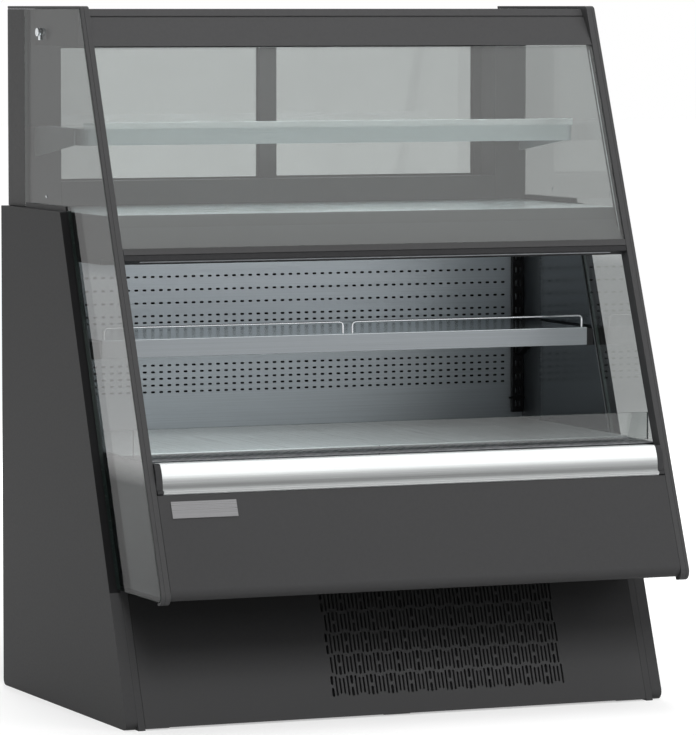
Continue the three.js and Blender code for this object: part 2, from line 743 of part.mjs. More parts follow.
// The slanted front post and the strip that runs back over the end glass, in one frame.
function endFrame() {
  const under = HEIGHT - TOP_CAP;
  const ends = [[REAR, under], [REAR, HEIGHT], [glassLine(HEIGHT), HEIGHT]];
  const foot = [[glassLine(FOOT), FOOT], behindFront(FOOT, POST_DEPTH)];
  const inner = FOOT + POST_LIP;
  const heel = [behindFront(FOOT, POST_DEPTH)[0], inner];
  const skin = rounded(
    [...foot, heel, behindFront(inner, POST_LIP), behindFront(under, POST_LIP), ...ends],
    [POST_FOOT_ROUND, 0, 0, POST_FOOT_ROUND - POST_LIP, 0, 0, 0, POST_TOP_ROUND],
  );
  const body = rounded(
    [...foot, behindFront(under, POST_DEPTH), ...ends],
    [POST_FOOT_ROUND, 0, 0, 0, 0, POST_TOP_ROUND],
  );
  return join(alongX(skin, POST_IN, END_OUT), alongX(body, POST_IN, END_IN - FIT));
}

function endGlass() {
  const inset = POST_LIP + GASKET;
  const low = FOOT + inset;
  const high = HEADER_TOP - FIT;
  const rear = REAR - JAMB_SKIN - FIT;
  const outline = rounded(
    [
      behindFront(low, inset),
      [baseLine(low) - GASKET, low],
      [baseLine(PANEL_HEIGHT) - GASKET, PANEL_HEIGHT + GASKET],
      [rear, PANEL_HEIGHT + GASKET],
      [rear, high],
      behindFront(high, inset),
    ],
    [POST_FOOT_ROUND - inset, 0, 0, 0, 0, 0],
  );
  return alongX(outline, END_IN, END_OUT);
}

function frontGlass() {
  const half = POST_IN - FIT;
  const z0 = MID_RAIL_TOP + FRONT_GLASS_GAP;
  const z1 = HEADER_BOTTOM - FRONT_GLASS_GAP;
  return alongX(frontSlab(z0, z1, FRONT_GLASS_INSET, FRONT_GLASS_THICK), -half, half);
}

// The bar under the front glass; its underside holds the light strip in a groove.
function midRail() {
  const half = POST_IN - FIT;
  const outline = frontSlab(MID_RAIL_BOTTOM, MID_RAIL_TOP, 0, POST_DEPTH);
  const groove = frontSlab(MID_RAIL_BOTTOM - 5, MID_RAIL_BOTTOM + STRIP_DEEP, STRIP_INSET, STRIP_WIDTH);
  const reach = POST_IN - LIGHT_END + FIT;
  return cut(alongX(outline, -half, half), alongX(groove, -reach, reach));
}

function canopyLight() {
  const z1 = MID_RAIL_BOTTOM + STRIP_DEEP - FIT;
  const strip = frontSlab(MID_RAIL_BOTTOM, z1, STRIP_INSET + FIT, STRIP_WIDTH - 2 * FIT);
  return alongX(strip, -(POST_IN - LIGHT_END), POST_IN - LIGHT_END);
}

// A folded channel, open to the rear, with a shadow groove under its top edge.
function headerBeam() {
  const half = POST_IN - FIT;
  const grooveZ = HEADER_TOP - HEADER_GROOVE_DROP;
  const topBack = glassLine(HEADER_TOP) + HEADER_DEPTH;
  const lowBack = glassLine(HEADER_BOTTOM) + HEADER_LIP;
  const outline = [
    [lowBack, HEADER_BOTTOM],
    [lowBack, HEADER_BOTTOM + HEADER_WALL],
    behindFront(HEADER_BOTTOM + HEADER_WALL, HEADER_WALL),
    behindFront(HEADER_TOP - HEADER_WALL, HEADER_WALL),
    [topBack, HEADER_TOP - HEADER_WALL],
    [topBack, HEADER_TOP],
    frontPoint(HEADER_TOP),
    frontPoint(grooveZ + GROOVE),
    frontPoint(grooveZ + GROOVE, GROOVE),
    frontPoint(grooveZ, GROOVE),
    frontPoint(grooveZ),
    frontPoint(HEADER_BOTTOM),
  ];
  return alongX(outline, -half, half);
}

// ================================================================ upper section
function roofPan() {
  const half = POST_IN - FIT;
  const front = glassLine(HEADER_TOP) + HEADER_DEPTH + FIT;
  const back = JAMB_FRONT - FIT;
  const top = box(-half, half, front, back, HEADER_TOP - ROOF_SKIN, HEADER_TOP);
  const skirts = [-half, half - ROOF_SKIN].map((x) => (
    box(x, x + ROOF_SKIN, front, back, HEADER_BOTTOM, HEADER_TOP)
  ));
  return join(top, ...skirts);
}

const rearDoorFace = REAR - REAR_DOOR_INSET - DOOR_THICK / 2;
const doorFaces = [rearDoorFace - DOOR_PITCH, rearDoorFace];
const doorRoomFront = doorFaces[0] - 2;
const doorHalf = END_IN - JAMB_WIDTH - FIT;
const trackHalf = doorHalf + DOOR_BEHIND + DOOR_SIDE_GAP;

// A post between the end glass and the doors, notched at its rear for the closed door's stile.
function rearJamb() {
  const inner = END_IN - JAMB_WIDTH;
  const notch = inner + DOOR_BEHIND + DOOR_SIDE_GAP;
  const outer = END_OUT;
  const skinFront = REAR - JAMB_SKIN;
  const plan = [
    [inner, JAMB_FRONT],
    [END_IN - FIT, JAMB_FRONT],
    [END_IN - FIT, skinFront],
    [outer, skinFront],
    [outer, REAR],
    [notch, REAR],
    [notch, doorRoomFront],
    [inner, doorRoomFront],
  ];
  return alongZ(plan, PANEL_HEIGHT + FIT, HEADER_TOP - FIT);
}


function trackGrooves(z0, z1) {
  const slack = (TRACK_WIDTH - DOOR_THICK) / 2;
  return doorFaces.map((y) => box(-trackHalf - 1, trackHalf + 1, y - slack, y + DOOR_THICK + slack, z0, z1));
}

// A rail between the jambs that widens behind them, under or over the doors' tracks.
function betweenJambs(z0, z1) {
  const front = doorRoomFront + FIT;
  const plan = [
    [-doorHalf, JAMB_FRONT],
    [doorHalf, JAMB_FRONT],
    [doorHalf, front],
    [trackHalf, front],
    [trackHalf, REAR],
    [-trackHalf, REAR],
    [-trackHalf, front],
    [-doorHalf, front],
  ];
  return alongZ(plan, z0, z1);
}

function rearSill() {
  const low = DECK_HEIGHT + FIT;
  const top = low + SILL_HEIGHT;
  const upstandBack = JAMB_FRONT + UPSTAND_DEPTH;
  const upstand = box(-doorHalf, doorHalf, JAMB_FRONT, upstandBack, low, top + SILL_UPSTAND);
  const raised = join(betweenJambs(low, top), upstand);
  return cut(raised, ...trackGrooves(top - TRACK_DEPTH, top + 1));
}

function doorHead() {
  const block = betweenJambs(HEADER_BOTTOM, HEADER_TOP - FIT);
  return cut(block, ...trackGrooves(HEADER_BOTTOM - 1, HEADER_BOTTOM + HEAD_POCKET + DOOR_LIFT));
}

const doorBottom = DECK_HEIGHT + FIT + SILL_HEIGHT - TRACK_DEPTH + FIT;
const doorTop = HEADER_BOTTOM + HEAD_POCKET;
const doorWidth = doorHalf + DOOR_BEHIND + DOOR_OVERLAP / 2;

function doorSpan(side) {
  const outer = side * (doorHalf + DOOR_BEHIND);
  const inner = outer - side * doorWidth;
  return [Math.min(outer, inner), Math.max(outer, inner)];
}

function doorFrame(side, y) {
  const [x0, x1] = doorSpan(side);
  const hole = [
    [x0 + DOOR_STILE, doorBottom + DOOR_RAIL],
    [x1 - DOOR_STILE, doorBottom + DOOR_RAIL],
    [x1 - DOOR_STILE, doorTop - DOOR_RAIL],
    [x0 + DOOR_STILE, doorTop - DOOR_RAIL],
  ];
  const ring = alongY(
    [[x0, doorBottom], [x1, doorBottom], [x1, doorTop], [x0, doorTop]],
    y,
    y + DOOR_THICK,
    [hole],
  );
  const middle = y + DOOR_THICK / 2;
  const groove = box(
    x0 + DOOR_STILE - DOOR_GROOVE,
    x1 - DOOR_STILE + DOOR_GROOVE,
    middle - DOOR_GLASS / 2 - FIT,
    middle + DOOR_GLASS / 2 + FIT,
    doorBottom + DOOR_RAIL - DOOR_GROOVE,
    doorTop - DOOR_RAIL + DOOR_GROOVE,
  );
  return cut(ring, groove, fingerPull(side, y));
}

// A finger pull sunk into the rear face of the door's outer stile.
function fingerPull(side, y) {
  const [x0, x1] = doorSpan(side);
  const x = side > 0 ? x1 - DOOR_STILE / 2 : x0 + DOOR_STILE / 2;
  const z = (doorBottom + doorTop) / 2;
  return box(
    x - PULL_WIDTH / 2,
    x + PULL_WIDTH / 2,
    y + DOOR_THICK - PULL_DEPTH,
    y + DOOR_THICK + 1,
    z - PULL_HEIGHT / 2,
    z + PULL_HEIGHT / 2,
  );
}

function doorGlass(side, y) {
  const [x0, x1] = doorSpan(side);
  const reach = DOOR_GROOVE - FIT;
  const middle = y + DOOR_THICK / 2;
  return box(
    x0 + DOOR_STILE - reach,
    x1 - DOOR_STILE + reach,
    middle - DOOR_GLASS / 2,
    middle + DOOR_GLASS / 2,
    doorBottom + DOOR_RAIL - reach,
    doorTop - DOOR_RAIL + reach,
  );
}

const canopyBack = MID_RAIL_BOTTOM - FIT;
const combFront = behindFront(canopyBack, POST_DEPTH + 3 * FIT)[0];

function midDeck() {
  const half = PANEL_IN - FIT;
  const over = FRONT_GLASS_INSET + FRONT_GLASS_THICK + 1;
  const step = combFront + HONEYCOMB_DEPTH + FIT;
  const outline = [
    [step, DECK_UNDERSIDE],
    [REAR, DECK_UNDERSIDE],
    [REAR, DECK_HEIGHT],
    [frontPoint(MID_RAIL_TOP + CANOPY_LIP, over)[0] + SLOPE_RUN, DECK_HEIGHT],
    frontPoint(MID_RAIL_TOP + CANOPY_LIP, over),
    frontPoint(MID_RAIL_TOP + 2 * FIT, over),
    frontPoint(MID_RAIL_TOP + 2 * FIT, POST_DEPTH + FIT),
    behindFront(canopyBack, POST_DEPTH + FIT),
    [step, canopyBack],
  ];
  return clearOfPosts(alongX(outline, -half, half));
}

// The cold air's outlet: a plate of slots behind the mid rail.
function honeycomb() {
  const half = POST_IN - LIGHT_END;
  const z1 = canopyBack - FIT;
  const z0 = z1 - HONEYCOMB_HEIGHT;
  const back = combFront + HONEYCOMB_DEPTH;
  const pitch = (2 * (half - GRILLE_BORDER)) / HONEYCOMB_CELLS;
  const cells = [];
  for (let i = 0; i < HONEYCOMB_CELLS; i++) {
    const x = -half + GRILLE_BORDER + pitch * (i + 0.1);
    cells.push([x, x + pitch * 0.8, combFront + GRILLE_BORDER, back - GRILLE_BORDER, z0 - 1, z1 + 1]);
  }
  return pierced(box(-half, half, combFront, back, z0, z1), cells);
}

function headerLight() {
  const half = POST_IN - LIGHT_END;
  const y0 = glassLine(HEADER_TOP) + HEADER_DEPTH + LIGHT_HEIGHT;
  const z1 = HEADER_TOP - ROOF_SKIN - FIT;
  const outline = rounded(
    [[y0, z1 - LIGHT_HEIGHT], [y0 + LIGHT_WIDTH, z1 - LIGHT_HEIGHT], [y0 + LIGHT_WIDTH, z1], [y0, z1]],
    [4, 4, 0, 0],
  );
  return alongX(outline, -half, half);
}

function upperShelf() {
  const half = UPPER_SHELF_HALF;
  const back = JAMB_FRONT - SHELF_BACK_GAP;
  const top = UPPER_SHELF_TOP;
  const plan = rounded(
    [[-half, UPPER_SHELF_FRONT], [half, UPPER_SHELF_FRONT], [half, back], [-half, back]],
    [UPPER_CORNER, UPPER_CORNER, 0, 0],
  );
  const slab = alongZ(plan, top - UPPER_LIP, top);
  const inside = [
    [-half + SHELF_SHEET, UPPER_SHELF_FRONT + LIP_THICK],
    [half - SHELF_SHEET, UPPER_SHELF_FRONT + LIP_THICK],
    [half - SHELF_SHEET, back - SHELF_SHEET],
    [-half + SHELF_SHEET, back - SHELF_SHEET],
  ];
  return cut(slab, alongZ(inside, top - UPPER_LIP - 1, top - SHELF_SHEET));
}

function upperBracket() {
  const x0 = UPPER_SHELF_HALF + FIT;
  const top = UPPER_SHELF_TOP - SHELF_SHEET;
  const outline = [
    [UPPER_SHELF_FRONT + 2 * UPPER_CORNER, top],
    [UPPER_SHELF_FRONT + 2 * UPPER_CORNER, top - UPPER_LIP + SHELF_SHEET],
    [JAMB_FRONT - FIT, top - BRACKET_TAIL],
    [JAMB_FRONT - FIT, top],
  ];
  return alongX(outline, x0, x0 + BRACKET_SHEET);
}

function lowerShelf() {
  const half = LOWER_SHELF_HALF;
  const back = BACK_PANEL_FACE - UPRIGHT_DEPTH - SHELF_BACK_GAP;
  const top = LOWER_SHELF_TOP;
  const outline = [
    [LOWER_SHELF_FRONT, top - LOWER_LIP],
    [LOWER_SHELF_FRONT + LIP_THICK, top - LOWER_LIP],
    [LOWER_SHELF_FRONT + LIP_THICK, top - SHELF_SHEET],
    [back - SHELF_SHEET, top - SHELF_SHEET],
    [back - SHELF_SHEET, top - LOWER_LIP / 2],
    [back, top - LOWER_LIP / 2],
    [back, top],
    [LOWER_SHELF_FRONT, top],
  ];
  return alongX(outline, -half, half);
}

function lowerBracket() {
  const x0 = LOWER_SHELF_HALF + FIT;
  const x1 = Math.min(x0 + BRACKET_WIDTH, WELL_HALF);
  const top = LOWER_SHELF_TOP - SHELF_SHEET;
  const back = BACK_PANEL_FACE - UPRIGHT_DEPTH - FIT;
  const outline = [
    [LOWER_SHELF_FRONT + 4, top],
    [LOWER_SHELF_FRONT + 4, top - BRACKET_NOSE],
    [back - BRACKET_HEEL, top - BRACKET_NOSE - 8],
    [back, top - BRACKET_TAIL - 16],
    [back, top],
  ];
  return alongX(outline, x0, x1);
}

function upright() {
  const x0 = UPRIGHT_CENTRE - UPRIGHT_WIDTH / 2;
  const back = BACK_PANEL_FACE - FIT;
  const top = DECK_UNDERSIDE - 2 * FIT;
  return box(x0, x0 + UPRIGHT_WIDTH, BACK_PANEL_FACE - UPRIGHT_DEPTH, back, UPRIGHT_FOOT, top);
}

// A bent wire that stands on the shelf behind its lip: one leg, the top bar, the other leg.
function wireGuard() {
  const x0 = GUARD_GAP / 2;
  const x1 = LOWER_SHELF_HALF - GUARD_END;
  const y = LOWER_SHELF_FRONT + GUARD_BACK;
  const foot = LOWER_SHELF_TOP + FIT;
  const top = LOWER_SHELF_TOP + GUARD_HEIGHT - WIRE / 2;
  const line = [[x0, y, foot], [x0, y, top], [x1, y, top], [x1, y, foot]];
  return tube(bent(line, 2 * WIRE), WIRE / 2);
}

// ================================================================ cooling
const plateTop = BASE_PLATE_Z + BASE_PLATE_THICK + FIT;
const unitX = GRILLE_CENTRE - COIL_TO_GRILLE;
const coilBack = baseLine(plateTop + COIL_HEIGHT) + COIL_BACK_GAP + COIL_DEPTH;

// A block with a row of fins; the fins stand past it on the side that the air meets.
function finnedBlock([x0, x1, y0, y1, z0, z1], finFront, finTop) {
  const pitch = (x1 - x0 - FIN_THICK) / FIN_COUNT;
  const fins = [];
  for (let i = 0; i <= FIN_COUNT; i++) {
    const x = x0 + i * pitch;
    fins.push(box(x, x + FIN_THICK, finFront, y1, z0, finTop));
  }
  return join(box(x0, x1, y0, y1, z0, z1), ...fins);
}

function condenserCoil() {
  const y0 = coilBack - COIL_DEPTH;
  const z1 = plateTop + COIL_HEIGHT;
  return finnedBlock([unitX - COIL_HALF, unitX + COIL_HALF, y0 + 8, coilBack, plateTop, z1], y0, z1);
}

// The fan's motor with its shaft, on an arm: from the shaft's tip to the motor's back.
function motorOnArm(x, z, tip, face, foot, hub) {
  const motor = disc(hub, face, face + MOTOR_LENGTH, x, z, 16);
  const shaft = disc(SHAFT_R, tip, face + 1, x, z, 24);
  const arm = box(x - ARM_WIDTH / 2, x + ARM_WIDTH / 2, face, face + 4, foot, z);
  return [motor, shaft, arm];
}

const condenserFanZ = plateTop + COIL_HEIGHT / 2;
const shroudFront = coilBack + FIT;
const condenserMotorFace = shroudFront + SHROUD_DEPTH - 4;
const condenserFanFront = condenserMotorFace - FAN_TO_MOTOR - FAN_AXIAL;

function condenserShroud() {
  const y0 = shroudFront;
  const y1 = y0 + SHROUD_DEPTH;
  const half = COIL_HEIGHT / 2 + 6;
  const shell = box(unitX - half, unitX + half, y0, y1, plateTop, plateTop + COIL_HEIGHT);
  const bore = disc(CONDENSER_FAN_R + FAN_CLEARANCE, y0 - 1, y1 + 1, unitX, condenserFanZ, 24);
  const tip = condenserFanFront + HUB_CAP + FIT;
  const motor = motorOnArm(unitX, condenserFanZ, tip, condenserMotorFace, plateTop, HUB_R);
  return join(cut(shell, bore), ...motor);
}

// A fan wheel that turns about Y: a bored hub with twisted blades, trimmed round.
function fanWheel(radius, y0, x, z, hub) {
  const y1 = y0 + FAN_AXIAL;
  const root = hub - 3;
  const blades = [];
  for (let i = 0; i < FAN_BLADES; i++) {
    const blade = new THREE.BoxGeometry(radius - root, BLADE_THICK, radius * 0.55);
    blade.rotateX(BLADE_TWIST).translate((radius + root) / 2, 0, 0);
    blade.rotateY((2 * Math.PI * i) / FAN_BLADES);
    blades.push(blade.translate(x, (y0 + y1) / 2, z));
  }
  const whole = join(disc(hub, y0, y1, x, z, 16), ...blades);
  const outside = cut(disc(radius * 2, y0 - 60, y1 + 60, x, z, 24), disc(radius, y0 - 61, y1 + 61, x, z, 24));
  return cut(whole, outside, disc(SHAFT_R + RUNNING_FIT, y0 + HUB_CAP, y1 + 1, x, z, 24));
}

function condenserFan() {
  return fanWheel(CONDENSER_FAN_R, condenserFanFront, unitX, condenserFanZ, HUB_R);
}

const compressorX = -RETURN_IN + COMPRESSOR_TO_END;
const compressorY = REAR - COMPRESSOR_TO_REAR;
const suctionX = -EVAP_HALF - 6 * PIPE_R;
const suctionY = compressorY - SUCTION_RISE;

function compressor() {
  const r = COMPRESSOR_R;
  const h = COMPRESSOR_HEIGHT;
  const seam = h * 0.45;
  const profile = [[0, 0], [r * 0.8, 0], [r, 18], [r, seam], [r + 4, seam], [r + 4, seam + 6],
    [r, seam + 6], [r, h * 0.75], [r * 0.8, h * 0.95], [r * 0.4, h], [0, h]];
  const dome = new THREE.LatheGeometry(profile.map(([x, y]) => new THREE.Vector2(x, y)), 20);
  dome.rotateX(Math.PI / 2).translate(compressorX, compressorY, plateTop + COMPRESSOR_FOOT - 2);
  const [w, d] = [r + 14, r * 0.55];
  const feet = box(compressorX - w, compressorX + w, compressorY - d, compressorY + d,
    plateTop, plateTop + COMPRESSOR_FOOT);
  return join(dome, feet);
}

function condensatePan() {
  const [x0, x1] = [unitX - PAN_WIDTH / 2, unitX + PAN_WIDTH / 2];
  const y1 = REAR - PAN_TO_REAR;
  const y0 = y1 - PAN_DEPTH;
  const z1 = plateTop + PAN_RIM;
  return cut(
    box(x0, x1, y0, y1, plateTop, z1),
    box(x0 + SHEET, x1 - SHEET, y0 + SHEET, y1 - SHEET, plateTop + SHEET, z1 + 1),
  );
}

const evapFloor = TUB_BOTTOM + TUB_FLOOR + FIT;
const plenumFront = deckPanFront - SHEET / 4;
const evapFront = plenumFront + 46;
const evapFanZ = evapFloor + EVAPORATOR_FAN_R + 12;
const evapMotorFace = plenumFront + 14;
const evapFanFront = evapMotorFace - FAN_TO_MOTOR - FAN_AXIAL;

function evaporatorCoil() {
  const y1 = evapFront + EVAP_DEPTH;
  const z1 = evapFloor + EVAP_HEIGHT;
  return finnedBlock([-EVAP_HALF, EVAP_HALF, evapFront, y1, evapFloor, z1 - 8], evapFront, z1);
}

// The plate that draws air through the coil, with the two fans' motors behind it.
function fanPlenum() {
  const z1 = DECK_PAN_Z - PAN_FLANGE - FIT;
  const y1 = plenumFront + 3;
  const half = EVAP_HALF + 40;
  const centres = [-EVAP_FAN_OFFSET, EVAP_FAN_OFFSET];
  const bores = centres.map((x) => (
    disc(EVAPORATOR_FAN_R + FAN_CLEARANCE, plenumFront - 5, y1 + 5, x, evapFanZ, 24)
  ));
  const plate = cut(box(-half, half, plenumFront, y1, evapFloor, z1), ...bores);
  const tip = evapFanFront + HUB_CAP + FIT;
  const motors = centres.flatMap((x) => [
    ...motorOnArm(x, evapFanZ, tip, evapMotorFace, evapFloor, SMALL_HUB_R + 2),
    box(x - ARM_WIDTH / 2, x + ARM_WIDTH / 2, plenumFront, evapMotorFace + 4, evapFloor, evapFloor + 4),
  ]);
  return join(plate, ...motors);
}

function evaporatorFan() {
  return fanWheel(EVAPORATOR_FAN_R, evapFanFront, EVAP_FAN_OFFSET, evapFanZ, SMALL_HUB_R);
}

// From the compressor up through the well's floor to the evaporator.
function suctionLine() {
  const shell = compressorY - COMPRESSOR_R - 1;
  const z = plateTop + SUCTION_HEIGHT;
  const top = evapFloor + EVAP_HEIGHT / 2;
  return tube(bent([
    [compressorX, shell, z],
    [compressorX, shell - 22, z],
    [suctionX, suctionY, z + 22],
    [suctionX, suctionY, top],
    [-EVAP_HALF - FIT, suctionY, top],
  ], 3 * PIPE_R), PIPE_R);
}

// From the compressor forward to the condenser.
function dischargeLine() {
  const shell = compressorX + COMPRESSOR_R + 1;
  const z = plateTop + DISCHARGE_HEIGHT;
  const coilY = coilBack - COIL_DEPTH / 2;
  return tube(bent([
    [shell, compressorY, z],
    [shell + 40, compressorY, z],
    [unitX - COIL_HALF - 40, coilY, z],
    [unitX - COIL_HALF - FIT, coilY, z],
  ], 3 * PIPE_R), PIPE_R);
}

// ================================================================ controls
const controlX = RETURN_IN - CONTROL_TO_END;
const controlFace = REAR - SERVICE_INSET - SHEET - FIT;
const switchZ = plateTop + SWITCH_HEIGHT;
const glandZ = plateTop + GLAND_HEIGHT;
const switchPivot = controlFace - 1;

// The box behind the rear service panel: the switch's well, its pivot holes and the cable gland.
function controlBox() {
  const half = CONTROL_WIDTH / 2;
  const z1 = plateTop + CONTROL_HEIGHT;
  const body = box(controlX - half, controlX + half, controlFace - CONTROL_DEPTH, controlFace, plateTop, z1);
  const [w, h] = [SWITCH_WIDE / 2 + 1, SWITCH_HIGH / 2 + 1.5];
  const well = box(controlX - w, controlX + w, controlFace - 16, controlFace + 1, switchZ - h, switchZ + h);
  const pivot = pinAlongX(SWITCH_PIN_R + RUNNING_FIT, w + 3);
  const gland = disc(GLAND_R, controlFace - 1, controlFace + SHEET + FIT + GLAND_PROUD, controlX, glandZ);
  const bore = disc(GLAND_R / 2, controlFace - 30, REAR + 1, controlX, glandZ);
  return cut(join(body, gland), well, pivot, bore);
}

function pinAlongX(radius, halfLength) {
  const pin = new THREE.CylinderGeometry(radius, radius, 2 * halfLength, 16);
  return pin.rotateZ(Math.PI / 2).translate(controlX, switchPivot, switchZ);
}

// The on-off rocker at rest, pressed at its lower end.
function powerSwitch() {
  const h = SWITCH_HIGH / 2;
  const outline = [[-4, -h], [3, -h], [1, 0], [3, h], [-4, h]];
  const rocker = alongX(outline, -SWITCH_WIDE / 2, SWITCH_WIDE / 2);
  rocker.rotateX(-SWITCH_TILT).translate(controlX, switchPivot, switchZ);
  return join(rocker, pinAlongX(SWITCH_PIN_R, SWITCH_WIDE / 2 + 3));
}

// ================================================================ assembly
addPair('side_panel', sidePanel(), 'charcoal');
add('base_plate', basePlate(), 'galvanised');
add('kick_panel', kickPanel(), 'charcoal');
add('rear_service_panel', servicePanel(), 'charcoal');
add('insulated_tub', insulatedTub(), 'foam');
addPair('end_liner', endLiner(), 'darkLiner');
add('perforated_back_panel', backPanel(), 'steel');
addPair('deck_pan', deckPan(), 'steel');
add('return_air_grille', returnGrille(), 'galvanised');
add('front_fascia', fascia(), 'charcoal');
add('name_plate', namePlate(), 'steel');
add('bumper_rail', bumperRail(), 'chrome');
addPair('bumper_cap', bumperCap(), 'charcoal');
addPair('end_frame', endFrame(), 'charcoal');
addPair('end_glass', endGlass(), 'glass');
add('front_glass', frontGlass(), 'glass');
add('mid_front_rail', midRail(), 'charcoal');
add('header_beam', headerBeam(), 'charcoal');
add('roof_pan', roofPan(), 'charcoal');
addPair('rear_jamb', rearJamb(), 'charcoal');
add('rear_sill', rearSill(), 'charcoal');
add('rear_door_head', doorHead(), 'charcoal');
add('door_left_frame', doorFrame(-1, doorFaces[0]), 'charcoal');
add('door_left_glass', doorGlass(-1, doorFaces[0]), 'glass');
add('door_right_frame', doorFrame(1, doorFaces[1]), 'charcoal');
add('door_right_glass', doorGlass(1, doorFaces[1]), 'glass');
add('insulated_mid_deck', midDeck(), 'charcoal');
add('air_discharge_grille', honeycomb(), 'black');
add('header_light', headerLight(), 'lamp');
add('canopy_light', canopyLight(), 'lamp');
add('upper_shelf', upperShelf(), 'steel');
addPair('upper_shelf_bracket', upperBracket(), 'steel');
add('lower_shelf', lowerShelf(), 'steel');
addPair('lower_shelf_bracket', lowerBracket(), 'black');
addPair('shelf_upright', upright(), 'black');
addPair('wire_guard', wireGuard(), 'chrome');
add('evaporator_coil', evaporatorCoil(), 'galvanised');
add('evaporator_fan_plenum', fanPlenum(), 'galvanised');
addPair('evaporator_fan', evaporatorFan(), 'black');
add('condenser_coil', condenserCoil(), 'galvanised');
add('condenser_fan_shroud', condenserShroud(), 'galvanised');
add('condenser_fan', condenserFan(), 'black');
add('compressor', compressor(), 'black');
add('condensate_pan', condensatePan(), 'galvanised');
add('suction_line', suctionLine(), 'copper');
add('discharge_line', dischargeLine(), 'copper');
add('control_box', controlBox(), 'galvanised');
add('power_switch', powerSwitch(), 'black');

export default group;
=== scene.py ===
"""Looks of the open multideck display fridge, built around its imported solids."""
import math

import bmesh
import bpy
from mathutils import Matrix, Vector


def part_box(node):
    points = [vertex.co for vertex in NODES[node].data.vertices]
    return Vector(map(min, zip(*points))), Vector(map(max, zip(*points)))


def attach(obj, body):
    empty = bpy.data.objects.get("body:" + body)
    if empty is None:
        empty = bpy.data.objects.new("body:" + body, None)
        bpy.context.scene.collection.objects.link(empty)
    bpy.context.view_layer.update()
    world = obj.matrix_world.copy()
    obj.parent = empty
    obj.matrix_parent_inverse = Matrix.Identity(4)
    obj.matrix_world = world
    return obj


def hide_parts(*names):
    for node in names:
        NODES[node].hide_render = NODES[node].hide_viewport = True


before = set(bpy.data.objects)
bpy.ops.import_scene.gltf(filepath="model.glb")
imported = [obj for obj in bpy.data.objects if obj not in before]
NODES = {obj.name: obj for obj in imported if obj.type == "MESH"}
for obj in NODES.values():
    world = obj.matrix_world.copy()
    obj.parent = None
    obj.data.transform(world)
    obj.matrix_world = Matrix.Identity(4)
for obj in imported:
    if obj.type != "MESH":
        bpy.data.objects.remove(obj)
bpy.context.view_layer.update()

MM = 0.001

# -------- sizes of the solids, in mm
FRONT_SLOPE = math.radians(21.75)
BASE_SLOPE = math.radians(20.9)
LEAN = math.tan(FRONT_SLOPE)
BASE_LEAN = math.tan(BASE_SLOPE)
UP_Z = math.cos(FRONT_SLOPE)
UP_Y = math.sin(FRONT_SLOPE)
REAR = 389.0
BASE_DEPTH = 649.0
PANEL_OUT = 508.0
PANEL_IN = 488.0
PANEL_TOP = 872.5
RETURN_IN = 475.0
END_OUT = 494.0
END_IN = 488.0
POST_IN = 477.5
POST_DEPTH = 26.0
FOOT = 228.0
FOOT_RADIUS = 16.0
TOP = 1232.0
HEADER_TOP = 1227.0
HEADER_BOTTOM = 1162.0
HEADER_DEPTH = 62.0
MID_TOP = 817.5
MID_BOTTOM = 797.5
DECK_TOP = 872.0
DECK_UNDER = 786.0
CANOPY_FRONT = -80.3
WELL_TOP = 785.4
UPPER_SHELF_TOP = 1018.0
UPPER_SHELF_LOW = 988.5
UPPER_SHELF_FRONT = 47.0
LOWER_SHELF_TOP = 651.6
FASCIA_BOTTOM = 234.0
FASCIA_TOP = 409.0
FASCIA_FOLD = 62.0
BUMPER_TOP = 461.0
WELL_DECK = 465.0
RISER_TOP = 513.0
JAMB_FRONT = 289.0
KICK_LOW = 4.0
KICK_TOP = 236.0
SERVICE_TOP = 239.0
SERVICE_FACE = 381.0
FIT = 0.3
SLOPE_RUN = 50.0
RAIL_SEAM = 806.9
DOOR_STILE = 33.0
DOOR_RAIL = 22.0
PULL_DEPTH = 3.0
LOW_GLAND = 84.3

FOOT_HALF = (math.pi / 2 - math.atan(LEAN)) / 2
FOOT_REACH = FOOT_RADIUS * (1 / math.tan(FOOT_HALF) - 1)

# -------- detail of the looks
SHARP = math.radians(32)        # edges that turn more than this are eased, or shaded sharp
DRIFT = 160.0                   # noise scales, in cells per metre
SPECKS = 240.0
PEEL = 900.0
ALONG_X = (2.0, 700.0, 700.0)   # stretched noise, for brushed streaks along one axis
ALONG_Z = (700.0, 700.0, 2.0)
FINE_Y = (1500.0, 3.0, 1500.0)
# the rail's painted reflection: its tone from its lower lip, at 0, to its top, at 1, a bright lip, a dark
# band and a pale top
RAIL_PAINTED_REFLECTION = (
    (0.0, 0.80), (0.04, 0.80), (0.07, 0.34), (0.12, 0.42), (0.2, 0.2), (0.27, 0.18),
    (0.34, 0.27), (0.44, 0.37), (0.5, 0.48), (0.56, 0.68), (0.62, 0.86), (1.0, 0.88),
)
# how far the rail stands proud, as a share of its bulge, at shares of its height
RAIL_BULGE = (
    (0.00, 0.2), (0.02, 0.6), (0.06, 0.78), (0.10, 0.72), (0.13, 0.4), (0.17, 0.25), (0.22, 0.28),
    (0.30, 0.5), (0.38, 0.7), (0.46, 0.85), (0.54, 0.95), (0.62, 1.0), (0.74, 1.0), (0.84, 0.93),
    (0.91, 0.78), (0.97, 0.5), (1.0, 0.1),
)


def front_y(z):
    """The slanted front's place at height z."""
    return -REAR - FOOT_REACH + (z - FOOT) * LEAN


def base_y(z):
    """The plinth's slanted front at height z."""
    return REAR - BASE_DEPTH + z * BASE_LEAN


def on_front(z, inwards=0.0):
    """A point on the slanted front, moved square into it."""
    return (front_y(z) + UP_Z * inwards, z - UP_Y * inwards)


def behind(z, inwards):
    """The point at height z on the plane that lies inwards of the front."""
    return (front_y(z) + inwards / UP_Z, z)


# -------- materials
def times(colour, share):
    return [c * share for c in colour]


